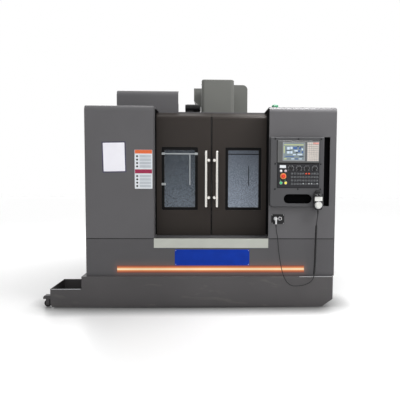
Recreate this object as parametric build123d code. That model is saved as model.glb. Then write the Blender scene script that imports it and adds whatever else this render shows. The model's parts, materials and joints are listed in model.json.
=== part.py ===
from build123d import *
import math
import os

# Vertical machining centre with a full sheet-metal guard, a disc tool changer and a coolant tank.
# Millimetres. X runs to the right and Y to the back, seen by the operator, and Z goes up.
# While the pieces are drawn, X is 0 in the middle of the guard, Y is 0 at the guard's front
# plane and Z is 0 on the floor. The last lines move the origin to the middle of the footprint.

# Guard
guard_width = 2500
guard_depth = 1750
guard_top = 2020
guard_seam = 698
sheet = 3
flange = 28
housing_depth = 225
roof_depth = 470
opening_width = 1150
housing_edge_radius = 55
side_hatch_width = 640
side_hatch_height = 540
side_hatch_proud = 12
beam_depth = 40
beam_height = 66

# Sill and lower guard
pan_rise = 60
pan_drop = 120
pan_edge = 40
sill_depth = 300
sill_beam = 93
sill_plate_thickness = 2
sill_plate_top = 58
door_track_height = 14
door_track_width = 20
light_length = 1884
light_height = 34
light_middle = 390
light_proud = 6
light_depth = 22

# Doors
door_setback = 240
door_thickness = 42
door_overlap = 25
door_split = 2
door_bend_height = 1948
door_bend_radius = 36
door_top = 2006
door_lip = 18
door_ground_gap = 5
door_travel = 480
window_width = 380
window_height = 659
window_bottom = 967
window_edge_offset = 144
window_step = 8
window_rim = 30
window_lap = 14
window_thickness = 6
handle_diameter = 32
handle_length = 585
handle_bottom = 1002
handle_offset = 57
handle_standoff = 65
handle_post_diameter = 22
handle_post_offset = 26
handle_post_inset = 97

# Coolant tank
tank_left = 1292
tank_right = 1234
tank_proud = 30
tank_depth = 430
tank_height = 320
tank_wall = 4
tank_ground = 12
tank_top_gap = 0.3
tank_chamfer = 108
tank_chamfer_height = 75
tray_length = 310
tray_height = 195
inlet_length = 900
inlet_depth = 200
tank_travel = 850
tank_wheel_diameter = 72
tank_wheel_width = 26
tank_axle_diameter = 12
outrigger_reach = 86
outrigger_plate = 6
rear_wheel_inset = 190

# Machine bed and column
spindle_x = 65
spindle_y = 950
foot_height = 100
foot_diameter = 110
foot_pad = 24
foot_screw_diameter = 36
bed_width = 900
bed_top = 600
bed_front = 300
bed_back = 2050
bed_foot_front = 440
bed_nose_bottom = 400
way_spacing = 560
way_width = 70
way_height = 60
bed_pocket_pitch = 390
bed_pocket_length = 300
bed_pocket_depth = 60
bed_pocket_margin = 70
bed_pocket_drop = 140
way_end = 1515
screw_channel_width = 160
screw_channel_depth = 100
slide_gap = 0.2
running_gap = 0.05
column_front = 1520
column_base_width = 700
column_width = 400
column_shoulder = 1000
column_neck = 1300
column_over_head = 145
column_arch_width = 280
column_arch_height = 300
column_channel_width = 140
column_channel_depth = 80
column_way_spacing = 300
column_way_width = 60
column_way_height = 50
column_way_bottom = 1100
column_way_margin = 55
column_pocket_wall = 60
column_pocket_depth = 120
column_pocket_lift = 100
column_pocket_drop = 300

# Saddle and table
y_travel = 250
x_travel = 400
z_travel = 500
saddle_depth = 400
saddle_length = 1240
saddle_core = 700
saddle_top = 780
saddle_skirt = 12
saddle_way_spacing = 260
saddle_way_width = 60
saddle_way_height = 40
saddle_channel_width = 110
saddle_channel_depth = 80
bearing_wall = 40
table_length = 1000
table_width = 500
table_top = 880
slot_count = 5
slot_pitch = 95
slot_width = 18
slot_depth = 18
slot_head_width = 32
slot_head_height = 13
screw_diameter = 32
screw_pitch = 10
nut_width = 90
nut_length = 90
motor_size = 130
motor_length = 220
x_motor_size = 96
x_motor_length = 180

# Telescopic way cover in front of the saddle: a fixed section and two moving ones
cover_length = 190
cover_width = 720
cover_step = 3.3
cover_height = 90

# Spindle head
head_half_width = 184
head_rear_width = 205
head_lift = 100
head_height = 460
head_plate = 90
head_plate_lift = 140
head_plate_height = 500
head_front = 110
nose_diameter = 200
nose_height = 45
spindle_nose = 1500
spindle_diameter = 90
spindle_flange = 125
taper_mouth = 44.45
taper_depth = 68
pulley_diameter = 130
head_cover_front = 750
head_cover_top = 2431
head_cover_radius = 40

# Tool changer
pot_count = 20
pot_circle = 600
pot_diameter = 74
pot_length = 130
pot_bore = 46
disc_middle = 1880
disc_diameter = 660
disc_thickness = 20
disc_x = -450
disc_shaft = 50
magazine_side_gap = 213
magazine_shield = 67
magazine_spacer_diameter = 30
hub_diameter = 130
magazine_right = -368
magazine_front = 500
magazine_depth = 900
magazine_bottom = 1502
magazine_top = 2256
magazine_radius = 60
changer_plate = 35
changer_rim = 40
changer_foot = 20
changer_shoulder = 120
changer_crown = 200
changer_tail = 180
changer_heel = 240
changer_toe = 260
changer_bracket = 130
arm_reach = 330
arm_width = 90
arm_thickness = 30
arm_bottom = 1445
arm_drop = 110
gripper_diameter = 63
sleeve_diameter = 90
sleeve_length = 320
arm_shaft_diameter = 50
gearbox_width = 128
gearbox_bottom = 1500
gearbox_top = 2075
changer_motor_diameter = 88
changer_motor_length = 175

# Covers and cabinet at the back
column_cover_left = -239
column_cover_step = 205
column_cover_right = 457
column_cover_front = 1440
column_cover_rise = 249
column_cover_step_height = 49
column_cover_tail = 145
column_cover_inner = 276
cabinet_width = 830
cabinet_bottom = 380
cabinet_top = 1980
cabinet_depth = 350
cabinet_door_thickness = 18
cabinet_handle_bottom = 1180
cabinet_handle_length = 150
cabinet_handle_width = 28
cabinet_handle_depth = 14
cabinet_handle_inset = 26
hinge_pin_diameter = 6
hinge_knuckle_diameter = 12
hinge_knuckle_length = 60
cabinet_door_swing = 110

# Operator's panel
box_left = 584
box_right = 1113
box_bottom = 1026
box_top = 1716
box_proud = 45
box_radius = 30
display_left = 651
display_right = 1070
display_bottom = 1463
display_top = 1680
display_proud = 8
seat_depth = 5
screen_left = 708
screen_right = 918
screen_inset = 24
keypad_left = 948
keypad_columns = 6
keypad_rows = 9
keypad_pitch_x = 19
keypad_pitch_z = 20.5
key_size = 14
key_height = 2
panel_left = 654
panel_right = 1065
panel_bottom = 1217
panel_top = 1452
panel_thickness = 6
panel_proud = 2
soft_key_columns = 10
soft_key_rows = 4
soft_key_pitch_x = 28
soft_key_pitch_z = 34
soft_key_left = 790
soft_key_bottom = 1246
pocket_left = 719
pocket_right = 1000
pocket_bottom = 1059
pocket_top = 1152
pocket_depth = 40
knob_height_z = 1409
knob_first_x = 788
knob_pitch = 79
knob_diameter = 34
knob_height = 17
knob_shaft = 8
stop_x = 712
stop_z = 1330
stop_ring = 60
stop_cap = 40
stop_travel = 5
button_z = 1263
start_x = 689
hold_x = 735
button_diameter = 24
button_ring = 30
button_travel = 4
stem_diameter = 16
stem_length = 20
slot_left = 1127
slot_right = 1186
slot_bottom = 1030
slot_top = 1722
slot_recess = 30

# Sockets, pendant and its cord
socket_panel_left = 603
socket_panel_right = 734
socket_panel_bottom = 849
socket_panel_top = 947
socket_panel_thickness = 4
socket_first_x = 645
socket_pitch = 46
socket_z = 904
socket_outer = 34
socket_inner = 24
socket_proud = 12
plug_length = 46
plug_drop = 52
plug_nut = 27
plug_tail = 20
pendant_x = 1055
pendant_top = 1161
pendant_bottom = 1001
pendant_width = 90
pendant_waist = 78
pendant_depth = 52
pendant_radius = 12
holder_width = 42
holder_top = 1192
holder_bottom = 1080
holder_thickness = 12
wheel_z = 1048
wheel_diameter = 60
wheel_height = 13
wheel_crank = 10
selector_z = 1141
selector_spacing = 34
selector_diameter = 18
selector_height = 14
lamp_x = 648
lamp_y = 150
lamp_diameter = 73
lamp_height = 36
cord_diameter = 8
coil_diameter = 22
gland_length = 18

# Values that follow from the ones above
half = guard_width / 2
magazine_left = -half + magazine_side_gap
nose_bottom = spindle_nose + nose_height
head_bottom = spindle_nose + head_lift
head_top = head_bottom + head_height
head_plate_bottom = spindle_nose + head_plate_lift
head_plate_top = head_plate_bottom + head_plate_height
column_top = head_top + column_over_head
column_way_top = column_top - column_way_margin
column_cover_top = column_top + column_cover_rise
column_cover_high = column_cover_top + column_cover_step_height
column_cover_drop = column_top - column_cover_tail
opening = opening_width / 2
lower_edge = tank_height + tank_top_gap
door_bottom = guard_seam + door_ground_gap
door_width = opening + door_overlap - door_split / 2
door_return_end = roof_depth - 20
beam_front = door_return_end + slide_gap
track_top = guard_seam + door_track_height
saddle_bottom = bed_top + saddle_skirt
saddle_seat = bed_top + way_height + slide_gap
table_bottom = saddle_top + saddle_way_height + slide_gap
y_screw_z = bed_top - 30
x_screw_z = saddle_top - 22
z_screw_y = column_front + 5
head_back = column_front - column_way_height - slide_gap
saddle_front = spindle_y - saddle_depth / 2
saddle_back = spindle_y + saddle_depth / 2
arm_x = spindle_x - arm_reach
box_front = -box_proud
display_face = box_front - display_proud
panel_face = box_front - panel_proud
pendant_back = box_front - holder_thickness
pendant_front = pendant_back - pendant_depth
cabinet_back = bed_back + cabinet_depth
outrigger_x = -tank_left - tray_length


def block(x0, x1, y0, y1, z0, z1):
    """A box between two corners."""
    middle = ((x0 + x1) / 2, (y0 + y1) / 2, (z0 + z1) / 2)
    return Pos(*middle) * Box(x1 - x0, y1 - y0, z1 - z0)


def along_x(points, x0, x1):
    """A (y, z) outline drawn out along X."""
    face = make_face(Polyline([(x0, y, z) for y, z in points], close=True))
    return extrude(face, amount=x1 - x0, dir=(1, 0, 0))


def along_y(points, y0, y1):
    """An (x, z) outline drawn out along Y."""
    face = make_face(Polyline([(x, y0, z) for x, z in points], close=True))
    return extrude(face, amount=y1 - y0, dir=(0, 1, 0))


def along_z(points, z0, z1):
    """An (x, y) outline drawn out along Z."""
    face = make_face(Polyline([(x, y, z0) for x, y in points], close=True))
    return extrude(face, amount=z1 - z0, dir=(0, 0, 1))


def rod_x(x0, x1, y, z, diameter):
    """A round bar along X."""
    return Pos((x0 + x1) / 2, y, z) * Rot(0, 90, 0) * Cylinder(diameter / 2, x1 - x0)


def rod_y(x, y0, y1, z, diameter):
    """A round bar along Y."""
    return Pos(x, (y0 + y1) / 2, z) * Rot(90, 0, 0) * Cylinder(diameter / 2, y1 - y0)


def rod_z(x, y, z0, z1, diameter):
    """A round bar along Z."""
    return Pos(x, y, (z0 + z1) / 2) * Cylinder(diameter / 2, z1 - z0)


def rounded_y(x0, x1, y0, y1, z0, z1, radius):
    """A plate facing the front, with its four corners rounded."""
    plate = block(x0, x1, y0, y1, z0, z1)
    return fillet(plate.edges().filter_by(Axis.Y), radius)


def mirrored(shape):
    """The same piece on the other side of the guard's middle."""
    return mirror(shape, about=Plane.YZ)


# Guard

def housing():
    """Left front housing: a box section with a rounded top edge and a roof over the parked door."""
    outline = [
        (0, guard_seam), (0, guard_top), (roof_depth, guard_top), (roof_depth, guard_top - sheet),
        (housing_depth, guard_top - sheet), (housing_depth, guard_seam),
    ]
    body = along_x(outline, -half, -opening)
    top_edge = body.edges().filter_by(Axis.X).sort_by(lambda e: e.center().Y - e.center().Z)[0]
    body = fillet(top_edge, housing_edge_radius)
    corner = block(-half, -half + sheet, housing_depth, roof_depth, guard_top - sheet, guard_top)
    return body - corner


def make_left_housing():
    """The left housing is plain."""
    return housing()


def make_right_housing():
    """The right housing has the long dark recess beside the operator's panel and stem bores."""
    body = mirrored(housing())
    recess = block(slot_left, slot_right, 0, slot_recess, slot_bottom, slot_top)
    return body - recess


def make_lower_guard():
    """Folded skirt: front skin, sill beam with the door track, and two sides."""
    front = [
        (0, lower_edge), (0, guard_seam), (sill_depth, guard_seam), (sill_depth, guard_seam - sill_beam),
        (sill_depth - sheet, guard_seam - sill_beam), (sill_depth - sheet, guard_seam - sheet),
        (sheet, guard_seam - sheet), (sheet, lower_edge + sheet), (flange, lower_edge + sheet),
        (flange, lower_edge),
    ]
    skirt = along_x(front, -half, half)
    side = [
        (-half, lower_edge), (-half, guard_seam), (-half + flange, guard_seam),
        (-half + flange, guard_seam - sheet), (-half + sheet, guard_seam - sheet),
        (-half + sheet, lower_edge + sheet), (-half + flange, lower_edge + sheet),
        (-half + flange, lower_edge),
    ]
    left = along_y(side, 0, guard_depth)
    skirt = skirt + left + mirrored(left)
    end = block(-half, -half + sheet, 0, sill_depth, lower_edge, guard_seam)
    skirt = skirt + end + mirrored(end)
    track_y = door_setback + door_thickness / 2
    track = block(
        -half + flange, half - flange, track_y - door_track_width / 2, track_y + door_track_width / 2,
        guard_seam - sheet, track_top - slide_gap,
    )
    slot = block(
        -light_length / 2, light_length / 2, -1, sheet + 1,
        light_middle - light_height / 2, light_middle + light_height / 2,
    )
    return skirt + track - slot


def make_enclosure_panels():
    """Two side panels, the left one with a hatch, two rear panels and the upper door beam."""
    side = [
        (-half, guard_seam), (-half, guard_top), (-half + flange, guard_top),
        (-half + flange, guard_top - sheet), (-half + sheet, guard_top - sheet),
        (-half + sheet, guard_seam),
    ]
    panel = along_y(side, roof_depth, guard_depth)
    panel += block(-half, -half + sheet, housing_depth, roof_depth, guard_seam, guard_top)
    middle = (housing_depth + guard_depth) / 2
    hatch_top = guard_top - 130
    hatch = block(
        -half - side_hatch_proud, -half, middle - side_hatch_width / 2, middle + side_hatch_width / 2,
        hatch_top - side_hatch_height, hatch_top)
    hatch = fillet(hatch.edges().filter_by(Axis.X), 20)
    return [panel + hatch, mirrored(panel), rear_panel(-1), rear_panel(1), door_beam()]


def rear_panel(side):
    """Rear panel from a side panel to the column, with a stiffening fold along its inner edge."""
    outer = side * (half - sheet)
    inner = spindle_x + side * (column_base_width / 2 + 20)
    outline = [
        (outer, guard_depth), (outer, guard_depth - sheet), (inner + side * sheet, guard_depth - sheet),
        (inner + side * sheet, guard_depth - flange), (inner, guard_depth - flange), (inner, guard_depth),
    ]
    return along_z(outline, guard_seam, guard_top - sheet)


def door_beam():
    """Channel across the guard behind the slanted tops of the doors."""
    back = beam_front + beam_depth
    top = guard_top - sheet
    low = guard_top - beam_height
    outline = [
        (beam_front, top), (beam_front, low), (back, low), (back, top), (back - sheet, top),
        (back - sheet, low + sheet), (beam_front + sheet, low + sheet), (beam_front + sheet, top),
    ]
    return along_x(outline, -half + sheet, half - sheet)


def make_sill_plate():
    """Stainless sill plate, folded over the front edge of the door opening."""
    outline = [
        (-sill_plate_thickness, guard_seam - sill_beam),
        (-sill_plate_thickness, guard_seam + sill_plate_thickness),
        (sill_plate_top, guard_seam + sill_plate_thickness), (sill_plate_top, guard_seam),
        (0, guard_seam), (0, guard_seam - sill_beam),
    ]
    plate = along_x(outline, -opening, opening)
    front_edge = plate.edges().filter_by(Axis.X).sort_by(lambda e: e.center().Y - e.center().Z)[0]
    return fillet(front_edge, sill_plate_thickness * 0.9)


def make_light_bar():
    """Light strip with a domed front, pushed through the slot of the lower guard."""
    gap = slide_gap
    bottom = light_middle - light_height / 2 + gap
    top = light_middle + light_height / 2 - gap
    outline = [
        (0, bottom), (-light_proud, bottom + 7), (-light_proud, top - 7), (0, top),
        (sheet, top), (sheet, top + 6), (light_depth, top + 6), (light_depth, bottom - 6),
        (sheet, bottom - 6), (sheet, bottom),
    ]
    return along_x(outline, -light_length / 2 + gap, light_length / 2 - gap)


def make_chip_pan():
    """Sloping chip pan between the guard and the bed, with the fixed section of the way cover."""
    bed_left = spindle_x - bed_width / 2
    bed_right = spindle_x + bed_width / 2
    edge = bed_top - pan_edge
    low = bed_top - pan_drop
    left = along_y([
        (-half + sheet, guard_seam - flange - pan_rise), (-half + sheet, guard_seam - flange - pan_rise + sheet),
        (bed_left - flange, low + sheet), (bed_left - sheet, low + sheet), (bed_left - sheet, edge),
        (bed_left, edge), (bed_left, low), (bed_left - flange, low),
    ], sill_depth, guard_depth - flange)
    right = along_y([
        (half - sheet, guard_seam - flange - pan_rise), (half - sheet, guard_seam - flange - pan_rise + sheet),
        (bed_right + flange, low + sheet), (bed_right + sheet, low + sheet),
        (bed_right + sheet, edge), (bed_right, edge), (bed_right, low),
        (bed_right + flange, low),
    ], sill_depth, guard_depth - flange)
    return [left, right, way_cover(0)]


def way_cover(section):
    """One section of the telescopic cover: a roof with two skirts that slides over the one before."""
    lift = section * cover_step
    foot = bed_top + (slide_gap if section else 0)
    width = cover_width / 2 + lift
    top = bed_top + cover_height + lift
    outline = [
        (spindle_x - width, foot), (spindle_x - width, top - 20), (spindle_x - 60, top),
        (spindle_x + 60, top), (spindle_x + width, top - 20), (spindle_x + width, foot),
        (spindle_x + width - sheet, foot), (spindle_x + width - sheet, top - 20 - sheet),
        (spindle_x + 60, top - sheet), (spindle_x - 60, top - sheet),
        (spindle_x - width + sheet, top - 20 - sheet), (spindle_x - width + sheet, foot),
    ]
    start = bed_front + 4
    shift = section * (saddle_front - start - cover_length) / 3
    return along_y(outline, start + shift, start + shift + cover_length)


# Bed and column

def make_bed():
    """Bed casting with a raised nose over the tank, two ways and the channel of the Y screw."""
    left = spindle_x - bed_width / 2
    right = spindle_x + bed_width / 2
    outline = [
        (bed_front, bed_nose_bottom), (bed_front, bed_top), (bed_back, bed_top),
        (bed_back, foot_height), (bed_foot_front, foot_height), (bed_foot_front, bed_nose_bottom - 60),
    ]
    body = along_x(outline, left, right)
    for side in (-1, 1):
        middle = spindle_x + side * way_spacing / 2
        body += block(
            middle - way_width / 2, middle + way_width / 2, bed_front + 10, way_end,
            bed_top, bed_top + way_height)
        wall = spindle_x + side * bed_width / 2
        for k in range(4):
            y0 = bed_foot_front + bed_pocket_margin + k * bed_pocket_pitch
            inner = wall - side * bed_pocket_depth
            body -= block(
                min(wall, inner), max(wall, inner), y0, y0 + bed_pocket_length,
                foot_height + bed_pocket_margin, bed_top - bed_pocket_drop)
    body -= block(
        spindle_x - screw_channel_width / 2, spindle_x + screw_channel_width / 2,
        bed_front + bearing_wall, column_front + 10, bed_top - screw_channel_depth, bed_top)
    rear = column_front + 10 + bearing_wall
    body -= block(
        spindle_x - screw_channel_width / 2, spindle_x + screw_channel_width / 2,
        rear, bed_back, bed_top - screw_channel_depth, bed_top)
    bore = rod_y(spindle_x, bed_front + 10, rear, y_screw_z, screw_diameter + 2 * running_gap)
    return body - bore


def make_levelling_feet():
    """Six levelling feet: a pad on the floor and a screw up into the bed's underside."""
    feet = []
    for dx in (-bed_width / 2 + 80, bed_width / 2 - 80):
        for y in (bed_foot_front + 70, (bed_foot_front + bed_back) / 2, bed_back - 70):
            x = spindle_x + dx
            pad = rod_z(x, y, 0, foot_pad, foot_diameter)
            pad = chamfer(pad.edges().filter_by(GeomType.CIRCLE).sort_by(Axis.Z)[-1], 6)
            nut = extrude(Plane.XY.offset(foot_pad + 20) * Pos(x, y) * RegularPolygon(28, 6), 22)
            feet.append(pad + rod_z(x, y, foot_pad, foot_height, foot_screw_diameter) + nut)
    return feet


def make_column():
    """Column casting: wide foot with an arch, a straight neck, two ways and the screw channel."""
    base = column_base_width / 2
    neck = column_width / 2
    outline = [
        (spindle_x - base, bed_top), (spindle_x - base, column_shoulder),
        (spindle_x - neck, column_neck), (spindle_x - neck, column_top),
        (spindle_x + neck, column_top), (spindle_x + neck, column_neck),
        (spindle_x + base, column_shoulder), (spindle_x + base, bed_top),
        (spindle_x + column_arch_width / 2, bed_top),
        (spindle_x + column_arch_width / 2, bed_top + column_arch_height - 70),
        (spindle_x + column_arch_width / 2 - 70, bed_top + column_arch_height),
        (spindle_x - column_arch_width / 2 + 70, bed_top + column_arch_height),
        (spindle_x - column_arch_width / 2, bed_top + column_arch_height - 70),
        (spindle_x - column_arch_width / 2, bed_top),
    ]
    body = along_y(outline, column_front, bed_back)
    channel = column_channel_width / 2
    low = column_shoulder + bearing_wall
    high = column_top - bearing_wall
    body -= block(
        spindle_x - channel, spindle_x + channel, column_front, column_front + column_channel_depth,
        low, high)
    for side in (-1, 1):
        middle = spindle_x + side * column_way_spacing / 2
        body += block(
            middle - column_way_width / 2, middle + column_way_width / 2,
            column_front - column_way_height, column_front, column_way_bottom, column_way_top)
    nose = motor_size / 2 - (z_screw_y - column_front)
    body += block(
        spindle_x - motor_size / 2, spindle_x + motor_size / 2, column_front - nose, column_front,
        high, column_top)
    bore = rod_z(
        spindle_x, z_screw_y, low - bearing_wall / 2, column_top, screw_diameter + 2 * running_gap)
    body -= bore
    pocket = neck - column_pocket_wall
    body -= block(
        spindle_x - pocket, spindle_x + pocket, bed_back - column_pocket_depth, bed_back,
        column_neck + column_pocket_lift, cabinet_top - column_pocket_drop)
    return body


def make_axis_motors():
    """Servo motors of the Y and Z screws: a square body, a flange and a round encoder cap."""
    rear = column_front + 10 + bearing_wall
    body = block(
        spindle_x - motor_size / 2, spindle_x + motor_size / 2, rear, rear + motor_length,
        y_screw_z - motor_size / 2, y_screw_z + motor_size / 2)
    body = fillet(body.edges().filter_by(Axis.Y), 14)
    y_motor = body + rod_y(spindle_x, rear + motor_length, rear + motor_length + 40, y_screw_z, 90)
    body = block(
        spindle_x - motor_size / 2, spindle_x + motor_size / 2, z_screw_y - motor_size / 2,
        z_screw_y + motor_size / 2, column_top, column_top + motor_length - 40)
    body = fillet(body.edges().filter_by(Axis.Z), 14)
    top = column_top + motor_length - 40
    z_motor = body + rod_z(spindle_x, z_screw_y, top, top + 40, 90)
    return [y_motor, z_motor]


def screw(length):
    """A ball screw standing on the origin: a shaft with a chamfer at each end."""
    shaft = Pos(0, 0, length / 2) * Cylinder(screw_diameter / 2, length)
    return chamfer(shaft.edges().filter_by(GeomType.CIRCLE), 3)


def make_y_screw():
    """Y screw in the bed's channel, from the front bearing to the motor."""
    start = bed_front + 12
    length = column_front + 10 + bearing_wall - start - slide_gap
    return Pos(spindle_x, start + length, y_screw_z) * Rot(90, 0, 0) * screw(length)


def make_x_screw():
    """X screw in the saddle's channel, from the left bearing to the motor."""
    length = saddle_length - 12 - slide_gap
    start = spindle_x - saddle_length / 2 + 12
    return Pos(start, spindle_y, x_screw_z) * Rot(0, 90, 0) * screw(length)


def make_z_screw():
    """Z screw in the column's channel, from the lower bearing to the motor on top."""
    start = column_shoulder + bearing_wall / 2 + 2
    return Pos(spindle_x, z_screw_y, start) * screw(column_top - start - slide_gap)


# Saddle and table

def make_saddle():
    """Saddle casting on the bed's ways, with the table's ways, and its own section of the cover."""
    core = saddle_core / 2
    wing = saddle_length / 2
    outline = [
        (spindle_x - core, saddle_bottom), (spindle_x - core, saddle_bottom + 45),
        (spindle_x - wing, saddle_top - 66), (spindle_x - wing, saddle_top),
        (spindle_x + wing, saddle_top), (spindle_x + wing, saddle_top - 66),
        (spindle_x + core, saddle_bottom + 45), (spindle_x + core, saddle_bottom),
    ]
    body = along_y(outline, saddle_front, saddle_back)
    for side in (-1, 1):
        middle = spindle_x + side * way_spacing / 2
        body -= block(
            middle - way_width / 2 - slide_gap, middle + way_width / 2 + slide_gap,
            saddle_front, saddle_back, saddle_bottom, saddle_seat)
        middle = spindle_y + side * saddle_way_spacing / 2
        body += block(
            spindle_x - wing, spindle_x + wing, middle - saddle_way_width / 2,
            middle + saddle_way_width / 2, saddle_top, saddle_top + saddle_way_height)
    body -= block(
        spindle_x - wing + bearing_wall, spindle_x + wing - bearing_wall,
        spindle_y - saddle_channel_width / 2, spindle_y + saddle_channel_width / 2,
        saddle_top - saddle_channel_depth, saddle_top)
    body -= rod_x(
        spindle_x - wing + 10, spindle_x + wing, spindle_y, x_screw_z, screw_diameter + 2 * running_gap)
    nut = block(
        spindle_x - nut_width / 2, spindle_x + nut_width / 2, spindle_y - nut_length / 2,
        spindle_y + nut_length / 2, y_screw_z - nut_width / 2 + 8, saddle_bottom)
    nut -= rod_y(
        spindle_x, spindle_y - nut_length / 2, spindle_y + nut_length / 2, y_screw_z,
        screw_diameter + 2 * running_gap)
    return [body + nut, way_cover(3)]


def make_x_axis_motor():
    """Servo motor of the X screw, on the saddle's right end."""
    start = spindle_x + saddle_length / 2
    body = block(
        start, start + x_motor_length, spindle_y - x_motor_size / 2, spindle_y + x_motor_size / 2,
        x_screw_z - x_motor_size / 2, x_screw_z + x_motor_size / 2)
    body = fillet(body.edges().filter_by(Axis.X), 12)
    return body + rod_x(start + x_motor_length, start + x_motor_length + 36, spindle_y, x_screw_z, 70)


def make_table():
    """Table with five T-slots, keepers beside the saddle's ways and the X nut."""
    left = spindle_x - table_length / 2
    right = spindle_x + table_length / 2
    front = spindle_y - table_width / 2
    back = spindle_y + table_width / 2
    body = block(left, right, front, back, table_bottom, table_top)
    body = fillet(body.edges().filter_by(Axis.Z), 12)
    outside = saddle_way_spacing / 2 + saddle_way_width / 2 + slide_gap
    for side in (-1, 1):
        near = spindle_y + side * outside
        far = spindle_y + side * (outside + 34)
        body += block(left + 60, right - 60, min(near, far), max(near, far), saddle_top + 8, table_bottom)
    body += block(
        spindle_x - nut_length / 2, spindle_x + nut_length / 2, spindle_y - nut_width / 2,
        spindle_y + nut_width / 2, x_screw_z - nut_width / 2 + 12, table_bottom)
    body -= rod_x(
        spindle_x - nut_length / 2, spindle_x + nut_length / 2, spindle_y, x_screw_z,
        screw_diameter + 2 * running_gap)
    for k in range(slot_count):
        middle = spindle_y + (k - (slot_count - 1) / 2) * slot_pitch
        body -= block(
            left, right, middle - slot_width / 2, middle + slot_width / 2,
            table_top - slot_depth, table_top)
        body -= block(
            left, right, middle - slot_head_width / 2, middle + slot_head_width / 2,
            table_top - slot_depth - slot_head_height, table_top - slot_depth)
    return body


# Spindle head

def make_spindle_head():
    """Head casting: a tall plate on the column's ways, a ribbed body and the round nose."""
    outline = [
        (head_back, head_plate_bottom), (head_back, head_plate_top), (head_back - head_plate, head_plate_top),
        (head_back - head_plate - 150, head_top), (spindle_y - head_front, head_top),
        (spindle_y - head_front, head_bottom), (spindle_y + nose_diameter / 2 + 20, head_bottom),
        (head_back - head_plate, head_plate_bottom),
    ]
    body = along_x(outline, spindle_x - head_half_width, spindle_x + head_half_width)
    front = body.edges().filter_by(Axis.Z).sort_by(Axis.Y)[:2]
    body = fillet(front, 60)
    body += rod_z(spindle_x, spindle_y, nose_bottom, head_bottom, nose_diameter)
    outer = column_way_spacing / 2 + column_way_width / 2 + slide_gap
    for side in (-1, 1):
        near = spindle_x + side * outer
        far = spindle_x + side * (outer + 24)
        body += block(
            min(near, far), max(near, far), head_back - head_plate, column_front - 12,
            head_plate_bottom, head_plate_top)
    middle = (head_plate_bottom + head_plate_top) / 2
    nut = block(
        spindle_x - nut_width / 2, spindle_x + nut_width / 2, head_back, z_screw_y + nut_width / 2 - 4,
        middle - nut_length / 2, middle + nut_length / 2)
    nut -= rod_z(
        spindle_x, z_screw_y, middle - nut_length / 2, middle + nut_length / 2,
        screw_diameter + 2 * running_gap)
    body += nut
    bore = rod_z(spindle_x, spindle_y, nose_bottom, head_top, spindle_diameter + 2 * running_gap)
    return body - bore


def make_head_cover():
    """Sheet cover over the head and the spindle motor, with rounded front edges."""
    half_width = head_half_width + sheet
    back = head_back - head_plate
    outer = block(
        spindle_x - half_width, spindle_x + half_width, head_cover_front, back,
        head_plate_bottom, head_cover_top)
    outer = fillet(outer.edges().filter_by(Axis.Z).sort_by(Axis.Y)[:2], head_cover_radius)
    top = outer.faces().sort_by(Axis.Z)[-1].edges().sort_by(Axis.Y)[:-1]
    outer = fillet(top, 14)
    cavity = block(
        spindle_x - head_half_width, spindle_x + head_half_width, head_cover_front + sheet,
        back, head_plate_bottom, head_cover_top - sheet)
    cavity = fillet(cavity.edges().filter_by(Axis.Z).sort_by(Axis.Y)[:2], head_cover_radius - sheet)
    cavity = fillet(cavity.faces().sort_by(Axis.Z)[-1].edges().sort_by(Axis.Y)[:-1], 14 - sheet)
    shell = outer - cavity
    shell += block(
        spindle_x - head_half_width, spindle_x + head_half_width, back - sheet, back,
        head_plate_top, head_cover_top - sheet)
    shell += block(
        spindle_x - head_half_width, spindle_x + head_half_width, head_cover_front + head_cover_radius,
        spindle_y - head_front, head_plate_bottom, head_plate_bottom + sheet)
    return shell


def make_spindle():
    """Spindle: a turned shaft with a flanged nose, a 7 to 24 taper, two keys and the pulley."""
    shaft = spindle_diameter / 2
    nose = spindle_flange / 2
    deep = taper_mouth / 2 - taper_depth * 7 / 48
    outline = [
        (taper_mouth / 2, spindle_nose), (nose - 4, spindle_nose), (nose, spindle_nose + 4),
        (nose, nose_bottom - 5), (shaft, nose_bottom - 5), (shaft, head_top + 5),
        (pulley_diameter / 2, head_top + 5), (pulley_diameter / 2, head_top + 50), (13, head_top + 50),
        (13, spindle_nose + taper_depth), (deep, spindle_nose + taper_depth),
    ]
    face = make_face(Polyline([(x, 0, z) for x, z in outline], close=True))
    body = Pos(spindle_x, spindle_y, 0) * revolve(face, Axis.Z)
    for side in (-1, 1):
        x = spindle_x + side * (taper_mouth / 2 + 13)
        body += block(x - 10, x + 10, spindle_y - 8, spindle_y + 8, spindle_nose - 7, spindle_nose)
    return body


# Tool changer

def make_tool_disc():
    """Disc with lightening holes, a hub and its shaft, and a ring of tool pots on its face."""
    back = disc_x - disc_thickness
    disc = rod_x(back, disc_x, spindle_y, disc_middle, disc_diameter)
    face = Pos(back, spindle_y, disc_middle) * Rot(0, -90, 0)
    for spot in PolarLocations(pot_circle / 4 + 10, 6):
        disc -= face * spot * Cylinder(38, disc_thickness * 3)
    disc += rod_x(back - 40, disc_x + 20, spindle_y, disc_middle, hub_diameter)
    shaft_end = magazine_right + changer_plate - 3
    disc += rod_x(disc_x, shaft_end, spindle_y, disc_middle, disc_shaft)
    pot = Cylinder(pot_diameter / 2, pot_length, align=(Align.CENTER, Align.CENTER, Align.MIN))
    pot = chamfer(pot.edges().filter_by(GeomType.CIRCLE).sort_by(Axis.Z)[-1], 5)
    pot -= Pos(0, 0, pot_length - 4) * Cylinder(pot_bore / 2, 8)
    return [disc] + [face * spot * pot for spot in PolarLocations(pot_circle / 2, pot_count)]


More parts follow.
